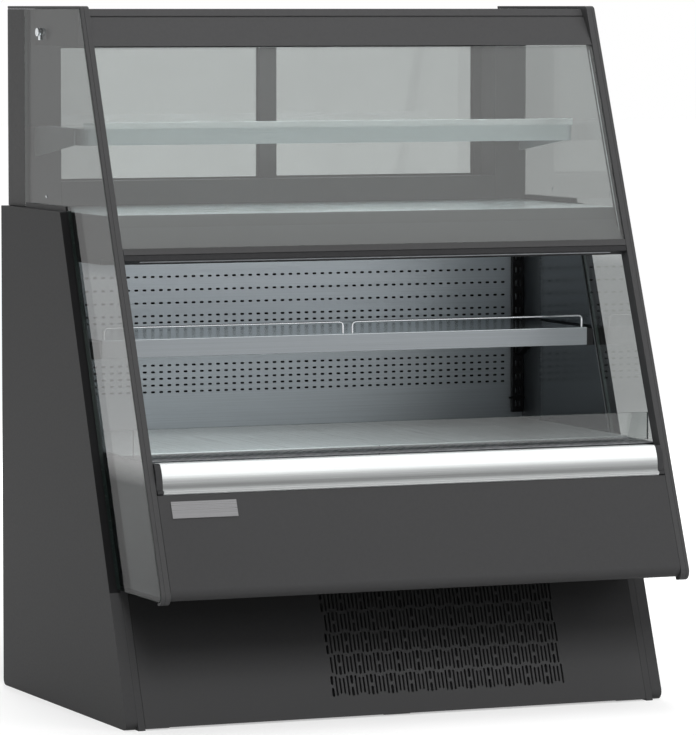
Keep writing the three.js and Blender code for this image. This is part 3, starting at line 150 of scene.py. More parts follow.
class Nodes:
    """Short ways to add nodes to a tree and to link them."""

    def __init__(self, tree):
        self.tree = tree

    def node(self, kind, **values):
        made = self.tree.nodes.new(kind)
        for key, value in values.items():
            setattr(made, key, value)
        return made

    def link(self, source, target):
        self.tree.links.new(source, target)

    def math(self, operation, first, second):
        made = self.node("ShaderNodeMath", operation=operation)
        for socket, value in zip(made.inputs, (first, second)):
            if isinstance(value, (int, float)):
                socket.default_value = value
            else:
                self.link(value, socket)
        return made.outputs["Value"]

    def mixed(self, share, first, second):
        """The first shader, blended into the second as the share goes from 0 to 1."""
        mix = self.node("ShaderNodeMixShader")
        self.link(share, mix.inputs["Fac"])
        self.link(first, mix.inputs[1])
        self.link(second, mix.inputs[2])
        return mix.outputs["Shader"]

    def seen_rays(self):
        """1 for camera, mirror and glass rays, which see bright surroundings, and 0 for the rest."""
        path = self.node("ShaderNodeLightPath")
        first = self.math("MAXIMUM", path.outputs["Is Camera Ray"], path.outputs["Is Glossy Ray"])
        return self.math("MAXIMUM", first, path.outputs["Is Transmission Ray"])


class Shader(Nodes):
    """A node material with one Principled shader, fed from object coordinates."""

    def __init__(self, name):
        self.material = bpy.data.materials.new(name)
        self.material.use_nodes = True
        super().__init__(self.material.node_tree)
        self.out = self.tree.nodes["Material Output"]
        self.bsdf = self.tree.nodes["Principled BSDF"]
        self.place = self.node("ShaderNodeTexCoord").outputs["Object"]

    def axis(self, letter, vector=None):
        """One component of the object coordinates, or of the vector."""
        made = self.node("ShaderNodeSeparateXYZ")
        self.link(vector or self.place, made.inputs["Vector"])
        return made.outputs[letter]

    def wall_x(self):
        """How far the surface looks along X, from -1 to 1."""
        return self.axis("X", self.node("ShaderNodeNewGeometry").outputs["True Normal"])

    def noise(self, scale, detail=3.0, place=None, rough=0.55):
        made = self.node("ShaderNodeTexNoise")
        made.inputs["Scale"].default_value = scale
        made.inputs["Detail"].default_value = detail
        made.inputs["Roughness"].default_value = rough
        self.link(place or self.place, made.inputs["Vector"])
        return made.outputs["Fac"]

    def streaks(self, scale):
        """Noise in object coordinates that are scaled differently on each axis."""
        mapping = self.node("ShaderNodeMapping")
        mapping.inputs["Scale"].default_value = scale
        self.link(self.place, mapping.inputs["Vector"])
        return self.noise(1.0, 4.0, mapping.outputs["Vector"], 0.7)

    def cells(self, scale):
        made = self.node("ShaderNodeTexVoronoi")
        made.inputs["Scale"].default_value = scale
        self.link(self.place, made.inputs["Vector"])
        return made.outputs["Color"]

    def spread(self, source, low, high, from_low=0.3, from_high=0.7):
        """A number from low to high that follows the source."""
        made = self.node("ShaderNodeMapRange")
        ends = {"From Min": from_low, "From Max": from_high, "To Min": low, "To Max": high}
        for key, value in ends.items():
            made.inputs[key].default_value = value
        self.link(source, made.inputs["Value"])
        return made.outputs["Result"]

    def along(self, letter, start, end, low=0.0, high=1.0):
        """A number from low to high as a coordinate, in metres, goes from start to end."""
        return self.spread(self.axis(letter), low, high, start, end)

    def tinted(self, source, dark, light, low=0.3, high=0.7):
        """A colour between dark and light that follows the source."""
        made = self.node("ShaderNodeValToRGB")
        for point, at, colour in zip(made.color_ramp.elements, (low, high), (dark, light)):
            point.position = at
            point.color = (*colour, 1)
        self.link(source, made.inputs["Fac"])
        return made.outputs["Color"]

    def feed(self, **sources):
        """Links sources to the Principled shader's sockets."""
        for key, source in sources.items():
            self.link(source, self.bsdf.inputs[key.replace("_", " ")])

    def plain(self, **values):
        """Sets the Principled shader's sockets."""
        for key, value in values.items():
            self.bsdf.inputs[key.replace("_", " ")].default_value = value

    def colour(self, source, base, swing):
        """The base colour, up to swing darker and lighter."""
        self.feed(Base_Color=self.tinted(source, times(base, 1 - swing), times(base, 1 + swing)))

    def roughness(self, source, low, high):
        self.feed(Roughness=self.spread(source, low, high))

    def bump(self, source, strength=0.1, distance=0.0002):
        made = self.node("ShaderNodeBump")
        made.inputs["Strength"].default_value = strength
        made.inputs["Distance"].default_value = distance
        self.link(source, made.inputs["Height"])
        self.feed(Normal=made.outputs["Normal"])


def orange_peel(made, low, high, shine):
    """The uneven gloss and the fine bumps of powder coat."""
    made.roughness(made.noise(SPECKS, 2.0), low, high)
    made.bump(made.noise(PEEL, 2.0), 0.12, 0.0003)
    made.plain(Specular_IOR_Level=shine)
    return made.material


def paint(name, base, rough=0.5, shine=0.15):
    """Powder coat with a slow drift of tone."""
    made = Shader(name)
    made.colour(made.noise(DRIFT), base, 0.03)
    return orange_peel(made, rough - 0.03, rough + 0.04, shine)


def kick_paint(name, base):
    """The plinth's powder coat, darker high up under the overhang, as painted shade."""
    made = Shader(name)
    drift = made.spread(made.noise(DRIFT), -0.04, 0.04)
    # painted shade: the colour darkens to 0.45 of itself from 75 mm up to 190 mm, where the fascia
    # shadows the plinth
    painted_shade_high = made.math("ADD", made.along("Z", 0.075, 0.19), drift)
    made.feed(Base_Color=made.tinted(painted_shade_high, base, times(base, 0.45), 0.0, 1.0))
    return orange_peel(made, 0.52, 0.6, 0.08)


def brushed(name, base, scale, rough=0.32, metal=0.6, grain=0.16):
    """Brushed sheet: fine streaks along one axis, in tone, gloss and height."""
    made = Shader(name)
    streaks = made.streaks(scale)
    made.colour(streaks, base, grain)
    made.roughness(streaks, rough - 0.07, rough + 0.1)
    made.bump(streaks)
    made.plain(Metallic=metal)
    return made.material


def back_steel(name, base):
    """The well's rear sheet: streaks across, and darker towards its foot, as painted shade."""
    made = Shader(name)
    streaks = made.streaks(ALONG_X)
    # painted shade: the sheet's colour falls off below 0.66 m, as if lit from above
    painted_fade = made.along("Z", 0.54, 0.66, 0.9, 1.0)
    tone = made.math("MULTIPLY", painted_fade, made.spread(streaks, 0.9, 1.1))
    made.feed(Base_Color=made.tinted(tone, times(base, 0.62), base, 0.62, 1.0))
    made.roughness(streaks, 0.29, 0.46)
    made.bump(streaks)
    made.plain(Metallic=0.5)
    return made.material


def shelf_steel(name, lip, top, top_height, top_metal):
    """A shelf: a satin lip, ends darker as painted shade, and a smoother top where the goods stand, paler
    as a painted highlight.
    """
    made = Shader(name)
    streaks = made.streaks(ALONG_X)
    # painted highlight: the top, from 0.8 mm below it, takes the pale top colour
    rise = made.along("Z", (top_height - 0.8) * MM, top_height * MM)
    tone = made.math("ADD", rise, made.spread(streaks, -0.05, 0.05))
    # painted shade: faces that look along X take a darker copy of the lip colour
    ends = made.math("MULTIPLY", made.math("ABSOLUTE", made.wall_x(), 0.0), 0.5)
    place = made.spread(made.math("SUBTRACT", tone, ends), 0.0, 1.0, -0.5, 1.0)
    ramp = made.tinted(place, times(lip, 0.4), top, 0.0, 1.0)
    ramp.node.color_ramp.elements.new(1 / 3).color = (*lip, 1)
    polish = made.spread(tone, 1.0, 0.4, 0.0, 1.0)
    made.feed(Base_Color=ramp, Metallic=made.spread(tone, 0.3, top_metal, 0.0, 1.0),
              Roughness=made.math("MULTIPLY", made.spread(streaks, 0.27, 0.44), polish))
    made.bump(streaks)
    return made.material


def liner_metal(name, base):
    """The well's end wall: dark and brushed, and duller in the rear corner by the shelf upright."""
    made = Shader(name)
    streaks = made.streaks(FINE_Y)
    made.colour(streaks, base, 0.04)
    dull = made.along("Y", 0.19, 0.23, 0.0, 0.3)
    made.feed(Metallic=made.along("Y", 0.19, 0.23, 0.85, 0.1),
              Roughness=made.math("ADD", made.spread(streaks, 0.05, 0.22), dull))
    made.bump(streaks)
    return made.material


def deck_steel(name, base):
    """The well's deck: streaks from back to front, and darker towards its right-hand end, as a painted
    reflection.
    """
    made = Shader(name)
    streaks = made.streaks(FINE_Y)
    # painted reflection: the colour fades to a third of itself from x -0.22 m to 0.3 m
    painted_fade = made.along("X", -0.22, 0.3, 1.0, 0.0)
    tone = made.math("ADD", painted_fade, made.spread(streaks, -0.03, 0.03))
    made.feed(Base_Color=made.tinted(tone, times(base, 0.32), base, 0.0, 1.0))
    made.roughness(streaks, 0.23, 0.4)
    made.bump(streaks)
    made.plain(Metallic=0.35)
    return made.material


def bumper_metal(name):
    """The rail's bright metal: satin, with a painted reflection by height, pale above, and darker in the
    channel over its bright lower lip.
    """
    made = Shader(name)
    streaks = made.streaks(ALONG_X)
    place = made.along("Z", FASCIA_TOP * MM, BUMPER_TOP * MM)
    place = made.math("ADD", place, made.spread(streaks, -0.006, 0.006))
    reflection_tones = [(at, (tone * 0.97, tone, tone)) for at, tone in RAIL_PAINTED_REFLECTION]
    ramp = made.tinted(place, reflection_tones[0][1], reflection_tones[-1][1], 0.0, 1.0)
    for at, colour in reflection_tones[1:-1]:
        ramp.node.color_ramp.elements.new(at).color = (*colour, 1)
    made.feed(Base_Color=ramp)
    made.roughness(streaks, 0.2, 0.3)
    made.bump(streaks, 0.05, 0.0001)
    made.plain(Metallic=0.2)
    return made.material


def moulded(name, base, rough=0.5):
    """Moulded plastic or rubber with a fine spark-eroded texture."""
    made = Shader(name)
    made.colour(made.noise(60.0), base, 0.15)
    made.roughness(made.noise(SPECKS), rough - 0.06, rough + 0.1)
    made.bump(made.noise(1600.0, 2.0), 0.2)
    return made.material


def zinc(name, base):
    """Galvanised sheet with its spangle."""
    made = Shader(name)
    made.colour(made.cells(90.0), base, 0.14)
    made.roughness(made.noise(70.0), 0.36, 0.55)
    made.bump(made.noise(300.0, 2.0), 0.08, 0.0003)
    made.plain(Metallic=0.7)
    return made.material


def glass(name, tint, at_end=False, least=0.09):
    """A thin pane: each face passes light straight on, tinted, and mirrors more of it at a slant.

    An end pane has a painted reflection, mirroring more seen from outside beside the well, and painted
    shade, its tint darker seen from inside there.
    """
    made = Shader(name)
    made.tree.nodes.remove(made.bsdf)
    facing = made.node("ShaderNodeLayerWeight").outputs["Facing"]
    depth = facing
    painted_mirror_share = 0.0
    if at_end:
        outside = made.math("MULTIPLY", made.axis("X"), made.wall_x())
        outside = made.math("GREATER_THAN", outside, 0.0)
        below = made.along("Z", 0.765, 0.79, 1.0, 0.0)
        slanted = made.math("MULTIPLY", below, made.spread(facing, 0.0, 1.0, 0.4, 0.62))
        beside = made.along("Z", 0.42, 0.46, -0.05, 0.08)
        # painted reflection: seen from outside at a slant, below 0.79 m, the pane mirrors up to 0.08 more
        # above 0.46 m and less below 0.42 m
        painted_mirror_share = made.math("MULTIPLY", made.math("MULTIPLY", slanted, outside), beside)
        # painted shade: seen from inside at a slant, below 0.79 m, its tint is up to 1.75 times as deep
        inside = made.math("MULTIPLY", made.math("SUBTRACT", 1.0, outside), 0.75)
        painted_tint_gain = made.math("ADD", made.math("MULTIPLY", inside, slanted), 1.0)
        depth = made.math("MULTIPLY", depth, painted_tint_gain)
    depth = made.math("ADD", depth, made.spread(made.noise(7.0, 4.0), -0.02, 0.02))
    seen = made.node("ShaderNodeBsdfTransparent")
    made.link(made.tinted(depth, tint, times(tint, 0.64), 0.0, 1.0), seen.inputs["Color"])
    mirror = made.node("ShaderNodeBsdfAnisotropic")
    mirror.inputs["Color"].default_value = (1, 1, 1, 1)
    made.link(made.spread(made.noise(30.0, 4.0), 0.0, 0.03), mirror.inputs["Roughness"])
    share = made.math("MULTIPLY", made.math("POWER", facing, 5.0), 0.15)
    share = made.math("ADD", made.math("ADD", share, least), painted_mirror_share)
    both = made.mixed(share, seen.outputs["BSDF"], mirror.outputs["BSDF"])
    made.link(both, made.out.inputs["Surface"])
    return made.material


def lamp(name, colour, strength):
    """A diffuser with a light behind it, a little uneven along its length."""
    made = Shader(name)
    drift = made.noise(14.0, 2.0)
    made.colour(drift, colour, 0.03)
    made.feed(Emission_Color=made.tinted(drift, times(colour, 0.97), colour))
    made.roughness(made.noise(200.0, 2.0), 0.35, 0.5)
    made.plain(Emission_Strength=strength)
    return made.material


CHARCOAL = paint("charcoal", (0.050, 0.050, 0.051), 0.5, 0.06)
# painted shade: a near-black paint for the side panels' front faces, which lie in shadow beside the end
# glass
PAINTED_SHADE_EDGE = paint("painted_shade_edge", (0.008, 0.008, 0.0085))
GRAPHITE = paint("graphite", (0.056, 0.056, 0.057), 0.45, 0.09)
KICK_PAINT = kick_paint("kick_paint", (0.052, 0.052, 0.053))
GREY_DECK = paint("grey_deck", (0.088, 0.092, 0.092), 0.36, 0.4)
DECK_END = paint("deck_end", (0.06, 0.06, 0.061), 0.4, 0.3)
LINER = liner_metal("dark_liner", (0.105, 0.115, 0.122))
STEEL_Y = deck_steel("steel_back_to_front", (0.88, 0.96, 0.98))
STEEL_Z = back_steel("steel_upright", (0.56, 0.61, 0.645))
FLOOR_STEEL = brushed("floor_steel", (0.86, 0.92, 0.92), ALONG_X, 0.24, 0.35, 0.05)
CANOPY_STEEL = brushed("canopy_steel", (0.55, 0.58, 0.60), ALONG_X, 0.34, 0.5, 0.08)
SHELF = shelf_steel(
    "shelf_steel", (0.25, 0.27, 0.285), (0.78, 0.85, 0.88), LOWER_SHELF_TOP, 0.9)
UPPER_SHELF = shelf_steel(
    "upper_shelf_steel", (0.62, 0.69, 0.70), (0.92, 0.97, 0.97), UPPER_SHELF_TOP, 0.3)
BRIGHT = bumper_metal("bright_rail")
CHROME = brushed("chrome", (0.62, 0.64, 0.66), ALONG_X, 0.14, 1.0, 0.05)
BARE_PLATE = brushed("bare_plate", (0.24, 0.24, 0.245), ALONG_X, 0.3, 0.5, 0.1)
BLACK = moulded("black_plastic", (0.012, 0.012, 0.013))
RUBBER = moulded("gasket_rubber", (0.008, 0.008, 0.009), 0.6)
DARK_STEEL = paint("black_steel", (0.016, 0.016, 0.017), 0.4)
GALVANISED = zinc("galvanised", (0.36, 0.37, 0.38))
# painted shade: a dark copy of the galvanised zinc for parts deep in the plinth
SHADED_ZINC = zinc("shaded_zinc", (0.09, 0.09, 0.092))
GRILLE_STEEL = zinc("grille_steel", (0.22, 0.225, 0.235))
FIN = brushed("fin_aluminium", (0.62, 0.63, 0.64), ALONG_Z, 0.35, 0.8)
DARK_FIN = brushed("coated_fins", (0.025, 0.025, 0.027), ALONG_Z, 0.4, 0.3)
COPPER = brushed("copper", (0.72, 0.33, 0.2), ALONG_Z, 0.3, 1.0, 0.12)
GLASS = glass("clear_glass", (0.805, 0.82, 0.815))
END_GLASS = glass("end_glass", (0.805, 0.82, 0.815), at_end=True)
RISER_GLASS = glass("riser_glass", (0.93, 0.945, 0.94), least=0.04)
GLASS_EDGE = moulded("glass_edge", (0.030, 0.045, 0.041), 0.2)
LAMP = lamp("lamp_cover", (0.93, 0.97, 1.0), 24.0)
CANOPY_LAMP = lamp("canopy_lamp", (0.90, 0.97, 1.0), 8.0)
SHELF_LAMP = lamp("shelf_lamp", (0.93, 0.97, 1.0), 13.0)
LAMP_FACE = moulded("lamp_rim", (0.2, 0.21, 0.22), 0.35)


# -------- outlines, in mm
def rect(x0, x1, y0, y1):
    return [(x0, y0), (x1, y0), (x1, y1), (x0, y1)]


def disc(x, y, radius, sides=16, start=0.0):
    turns = [start + 2 * math.pi * i / sides for i in range(sides)]
    return [(x + radius * math.cos(turn), y + radius * math.sin(turn)) for turn in turns]


def slot(x, y, long, wide, upright=False, steps=4):
    """A slot with round ends, about (x, y)."""
    radius = wide / 2
    reach = long / 2 - radius
    points = []
    for side in (1, -1):
        for i in range(steps + 1):
            angle = -math.pi / 2 + math.pi * i / steps
            u = side * (reach + radius * math.cos(angle))
            v = side * radius * math.sin(angle)
            points.append((x - v, y + u) if upright else (x + u, y + v))
    return points


def slab(z0, z1, inset, thick):
    """The outline of a sheet that lies along the slanted front."""
    back = inset + thick
    return [on_front(z0, inset), on_front(z0, back), on_front(z1, back), on_front(z1, inset)]


def rounded(points, radii, steps=6):
    """The polygon with its corners turned into arcs."""
    made = []
    for i, (at, radius) in enumerate(zip(points, radii)):
        if not radius:
            made.append(tuple(at))
            continue
        here = Vector(at)
        back = (Vector(points[i - 1]) - here).normalized()
        on = (Vector(points[(i + 1) % len(points)]) - here).normalized()
        half = math.acos(max(-1.0, min(1.0, back.dot(on)))) / 2
        reach = radius / math.tan(half)
        middle = here + (back + on).normalized() * (radius / math.sin(half))
        start = here + back * reach - middle
        end = here + on * reach - middle
        turn = math.atan2(start.x * end.y - start.y * end.x, start.dot(end))
        for k in range(steps + 1):
            c, s = math.cos(turn * k / steps), math.sin(turn * k / steps)
            made.append((middle.x + start.x * c - start.y * s, middle.y + start.x * s + start.y * c))
    return made


def trough(y0, y1, z0, z1, radius, steps=6):
    """A rectangle with its two lower corners rounded."""
    return rounded([(y0, z1), (y0, z0), (y1, z0), (y1, z1)], [0, radius, radius, 0], steps)


def bent(points, radius, steps=6):
    """The path with its inner corners bent round."""
    made = [Vector(points[0])]
    for before, at, after in zip(points, points[1:], points[2:]):
        here = Vector(at)
        start = here + (Vector(before) - here).normalized() * radius
        end = here + (Vector(after) - here).normalized() * radius
        for i in range(steps + 1):
            t = i / steps
            made.append(start * (1 - t) ** 2 + here * 2 * t * (1 - t) + end * t * t)
    made.append(Vector(points[-1]))
    return made


def sides():
    """The two ends of the cabinet: the sign of x, and the word in the node's name."""
    return ((-1, "left"), (1, "right"))


def span(sign, x0, x1):
    """A stretch of X on the left or right side, lower end first."""
    return sorted((sign * x0, sign * x1))


def box_mm(node):
    """A node's box in mm: x0, x1, y0, y1, z0, z1."""
    low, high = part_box(node)
    return [value / MM for pair in zip(low, high) for value in pair]


# -------- mesh helpers
def link(name, data):
    made = bpy.data.objects.new(name, data)
    bpy.context.scene.collection.objects.link(made)
    return made


def ease(made, width, segments=2):
    """Rounds the edges that turn more than SHARP by a width in mm."""
    bevel = made.modifiers.new("eased_edges", "BEVEL")
    bevel.width = width * MM
    bevel.segments = segments
    bevel.limit_method = "ANGLE"
    bevel.angle_limit = SHARP
    return bevel


def settle(made, material, body="cabinet", instead=(), soften=0.0, steps=2, more=()):
    """Gives a piece its finish, eased edges, body and slot, and hides the nodes it stands for."""
    made.data.materials.clear()
    for one in (material, *more):
        made.data.materials.append(one)
    if made.type == "MESH":
        made.data.polygons.foreach_set("use_smooth", [True] * len(made.data.polygons))
        if soften:
            ease(made, soften, steps).harden_normals = True
        else:
            made.data.set_sharp_from_angle(angle=SHARP)
    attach(made, body)
    if instead:
        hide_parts(*instead)
    return made


def carried(node, material, soften):
    """A node whose solid stays, with welded corners, eased edges and its finish."""
    made = NODES[node]
    made.data.materials.clear()
    made.data.materials.append(material)
    made.modifiers.new("welded", "WELD").merge_threshold = 0.00001
    ease(made, soften)


def mesh_of(name, build):
    """A mesh that build fills, in metres, with its faces turned out."""
    grid = bmesh.new()
    build(grid)
    bmesh.ops.recalc_face_normals(grid, faces=grid.faces)
    mesh = bpy.data.meshes.new(name)
    grid.to_mesh(mesh)
    grid.free()
    return link(name, mesh)


def bridge(grid, first, second):
    """Joins two rings of corners with a band of faces."""
    for i in range(len(first)):
        j = (i + 1) % len(first)
        grid.faces.new((first[i], first[j], second[j], second[i]))


def sweep(grid, outline, start, end, axis):
    """Adds a closed outline, in mm, swept along an axis: 0 for (y, z) points, 1 for (x, z) points."""
    rings = []
    for at in (start, end):
        corners = [(*point[:axis], at, *point[axis:]) for point in outline]
        rings.append([grid.verts.new([c * MM for c in corner]) for corner in corners])
    bridge(grid, *rings)
    grid.faces.new(rings[0][::-1])
    grid.faces.new(rings[1])


def swept(name, outline, start, end, material, axis=0, **how):
    """A piece of one outline swept along an axis, with its finish."""
    made = mesh_of(name, lambda grid: sweep(grid, outline, start, end, axis))
    return settle(made, material, **how)


def at_ends(name, outline, x0, x1, material, instead=None, **how):
    """One piece at the left end and one at the right; %s in a name stands for the side."""
    return [swept(name % word, outline, *span(sign, x0, x1), material,
                  instead=[instead % word] if instead else (), **how) for sign, word in sides()]


def block(name, x0, x1, y0, y1, z0, z1, material, **how):
    return swept(name, rect(y0, y1, z0, z1), x0, x1, material, **how)


def sheet_with_holes(name, outline, holes, thick, place, material, **how):
    """A flat sheet, in mm, with holes through it: filled as a 2D curve, put in place and finished."""
    curve = bpy.data.curves.new(name + "_outline", "CURVE")
    curve.dimensions = "2D"
    curve.fill_mode = "BOTH"
    curve.extrude = thick / 2 * MM
    for points in (outline, *holes):
        spline = curve.splines.new("POLY")
        spline.points.add(len(points) - 1)
        for point, (x, y) in zip(spline.points, points):
            point.co = (x * MM, y * MM, 0, 1)
        spline.use_cyclic_u = True
    flat = link(name + "_flat", curve)
    bpy.context.view_layer.update()
    ready = flat.evaluated_get(bpy.context.evaluated_depsgraph_get())
    mesh = bpy.data.meshes.new_from_object(ready)
    bpy.data.objects.remove(flat)
    mesh.name = name
    grid = bmesh.new()
    grid.from_mesh(mesh)
    bmesh.ops.remove_doubles(grid, verts=grid.verts, dist=1e-6)
    bmesh.ops.recalc_face_normals(grid, faces=grid.faces)
    grid.to_mesh(mesh)
    grid.free()
    mesh.transform(place)
    return settle(link(name, mesh), material, **how)


def placed(at, flat_y, flat_z):
    """A frame at a point in mm, whose X stays X."""
    made = Matrix.Identity(4)
    for row in range(3):
        made[row][1] = flat_y[row]
        made[row][2] = flat_z[row]
        made[row][3] = at[row] * MM
    return made


def on_wall(y):
    """A frame whose flat Y runs up an upright wall, at a depth in mm."""
    return placed((0, y, 0), (0, 0, 1), (0, -1, 0))


def at_height(z):
    """A level frame at a height in mm."""
    return placed((0, 0, z), (0, 1, 0), (0, 0, 1))


def wire(name, points, radius):
    """A round wire through the points, in mm."""
    curve = bpy.data.curves.new(name, "CURVE")
    curve.dimensions = "3D"
    curve.bevel_depth = radius * MM
    curve.bevel_resolution = 5
    curve.use_fill_caps = True
    spline = curve.splines.new("POLY")
    spline.points.add(len(points) - 1)
    for point, at in zip(spline.points, points):
        point.co = (*[c * MM for c in at], 1)
    return link(name, curve)


def shade_flat(made):
    made.data.polygons.foreach_set("use_smooth", [False] * len(made.data.polygons))


def mark_edges(made, axis):
    """Gives the faces that don't look along the axis the ground edge's finish."""
    for face in made.data.polygons:
        if abs(face.normal[axis]) < 0.7:
            face.material_index = 1
    shade_flat(made)


# -------- plinth
def side_panels():
    """The slanted side panels, each with its front return and rounded outer edges."""
    outline = [
        (base_y(0), 0), (REAR, 0), (REAR, PANEL_TOP), (base_y(PANEL_TOP), PANEL_TOP),
        (base_y(FOOT), FOOT),
    ]
    outline = rounded(outline, [14, 12, 0, 5, 0], 5)
    depth = 30
    ledge = [
        (base_y(0), 0), (base_y(0) + depth, 0), (base_y(KICK_TOP) + depth, KICK_TOP),
        (base_y(KICK_TOP), KICK_TOP),
    ]
    for made in at_ends("side_%s", outline, PANEL_IN, PANEL_OUT, CHARCOAL,
                        instead="side_panel_%s", more=[PAINTED_SHADE_EDGE]):
        mesh = made.data
        weights = mesh.attributes.new("bevel_weight_edge", "FLOAT", "EDGE")
        for edge in mesh.edges:
            ends = [mesh.vertices[i].co for i in edge.vertices]
            if all(abs(p.x) > (PANEL_OUT - FIT) * MM for p in ends):
                low = all(p.z < 1e-6 for p in ends)
                weights.data[edge.index].value = 0.95 if low else 0.2
        # painted shade: the front faces above the foot take the near-black paint
        for face in mesh.polygons:
            face.material_index = int(face.normal.y < -0.5 and face.center.z > FOOT * MM)
        bevel = made.modifiers.new("rounded_edges", "BEVEL")
        bevel.limit_method = "WEIGHT"
        bevel.width = 20 * MM
        bevel.segments = 6
        bevel.harden_normals = True
    at_ends("side_return_%s", ledge, RETURN_IN, PANEL_IN, CHARCOAL, soften=0.8)


def kick_panel():
    """The slotted front panel, with a figure of five slots that repeats, and a pleated black sheet behind
    the slots, as painted shade.
    """
    half = RETURN_IN - FIT
    up = Vector((0, math.sin(BASE_SLOPE), math.cos(BASE_SLOPE)))
    out = Vector((0, -up.z, up.y))
    pitch = 37.3
    low, row_pitch = 51.0 / up.z, 35.5 / up.z
    pair_long, pair_wide, pair_apart, slot_wide = 16.5, 5.0, 10.6, 3.6
    first, last = -122.0, 320.0
    holes = []
    for row in range(5):
        y = low + row * row_pitch
        for period in range(-1, 12):
            start = first + 1 + pitch * (period + (0.5 if row % 2 else 0.0))
            for step, long in ((0.0, 0.0), (7.6, 36), (15.0, 29), (22.2, 29), (29.6, 36)):
                x = start + step
                if not first <= x <= last:
                    continue
                if long:
                    holes.append(slot(x, y, long, slot_wide, True, 3))
                    continue
                for middle in (y + pair_apart, y - pair_apart):
                    holes.append(slot(x, middle, pair_long, pair_wide, True, 3))
    outline = rect(-half, half, 0, (KICK_TOP - KICK_LOW) / up.z)
    foot = Vector((0, base_y(KICK_LOW), KICK_LOW)) - out * 1.0
    sheet_with_holes("kick_grille", outline, holes, 2.0, placed(foot, up, out), KICK_PAINT,
                     instead=["kick_panel"])

    # painted shade: a pleated black sheet right behind the slots keeps them dark
    pleat, depth, fold_thick, tall, margin = 6.0, 5.0, 0.8, 196.0, 12.0
    count = round((last - first + 2 * margin) / pleat)
    folds = [(first - margin + pleat * i, depth * (i % 2)) for i in range(count + 1)]
    outline = folds + [(x, y + fold_thick) for x, y in reversed(folds)]
    middle = foot + up * (low + 2 * row_pitch) - out * depth
    sheet_with_holes("kick_shade_sheet", outline, [], tall, placed(middle, -out, up), RUBBER)


def screw(name, x, y, z):
    """A low round screw head with a sunk middle, on a wall that faces the rear."""
    radius = 4.5

    def build(grid):
        rings = []
        for share, proud in ((1, -0.4), (1, 0.35), (0.82, 0.95), (0.45, 1.2), (0.405, 0.3)):
            points = [(x + u, y + proud, z - v) for u, v in disc(0, 0, radius * share)]
            rings.append([grid.verts.new([c * MM for c in point]) for point in points])
        for first, second in zip(rings, rings[1:]):
            bridge(grid, first, second)
        grid.faces.new(rings[-1])
        grid.faces.new(rings[0][::-1])

    settle(mesh_of(name, build), DARK_STEEL)


# -------- front
def fascia():
    """The folded sheet that overhangs the plinth."""
    half = POST_IN - FIT
    low, sheet = FASCIA_BOTTOM, 2
    back = front_y(low) + FASCIA_FOLD
    top = FASCIA_TOP - FIT
    outer = rounded([on_front(top), (front_y(low), low), (back, low)], [0, 16, 0], 10)
    inner = [on_front(top, sheet), behind(low + sheet, sheet), (back, low + sheet)]
    inner = rounded(inner, [0, 14, 0], 10)
    swept("fascia_skin", [*outer, *inner[::-1]], -half, half, CHARCOAL,
          instead=["front_fascia"], soften=0.5)


def name_plate():
    """A bare plate on the fascia."""
    left, wide, high, gap = -POST_IN + 22, 119, 29.8, 12.4
    z1 = FASCIA_TOP - gap * UP_Z
    outline = slab(z1 - high * UP_Z, z1, -1.8, 1.5)
    swept("bare_name_plate", outline, left, left + wide, BARE_PLATE,
          instead=["name_plate"], soften=0.5, steps=3)


def bumper_profile(proud):
    """The rail's outline: a full bulge, then a shallow groove and a lower lip."""
    low, high = FASCIA_TOP + FIT, BUMPER_TOP
    points = [on_front(low + (high - low) * at, 2 - proud * bulge) for at, bulge in RAIL_BULGE]
    back = behind(WELL_DECK, POST_DEPTH + 0.6)[0] - FIT
    return [*points, (back, high - 2), (back, WELL_DECK - 36), on_front(low, POST_DEPTH)]


def bumper():
    """The bright rail and its two dark end caps."""
    half = POST_IN - 12
    swept("bumper_bar", bumper_profile(7), -half, half, BRIGHT, instead=["bumper_rail"])
    at_ends("bumper_end_%s", bumper_profile(8), half + FIT, POST_IN - FIT, BLACK,
            instead="bumper_cap_%s", soften=1.2, steps=3)


def end_frames():
    """The slanted post and the strip over the end glass, as one bent frame on each side."""
    under = TOP - 5
    ends = [(REAR, under), (REAR, TOP), (front_y(TOP), TOP)]
    foot = [(front_y(FOOT), FOOT), behind(FOOT, POST_DEPTH)]
    inner = FOOT + 4
    heel = (behind(FOOT, POST_DEPTH)[0], inner)
    skin = [*foot, heel, behind(inner, 4), behind(under, 4), *ends]
    skin = rounded(skin, [16, 0, 0, 12, 0, 0, 0, 12], 8)
    core = rounded([*foot, behind(under, POST_DEPTH), *ends], [16, 0, 0, 0, 0, 12], 8)
    seam = END_IN - FIT
    at_ends("post_core_%s", core, POST_IN, seam, GRAPHITE, instead="end_frame_%s", soften=0.9)
    at_ends("post_skin_%s", skin, seam, END_OUT, GRAPHITE, soften=0.8)


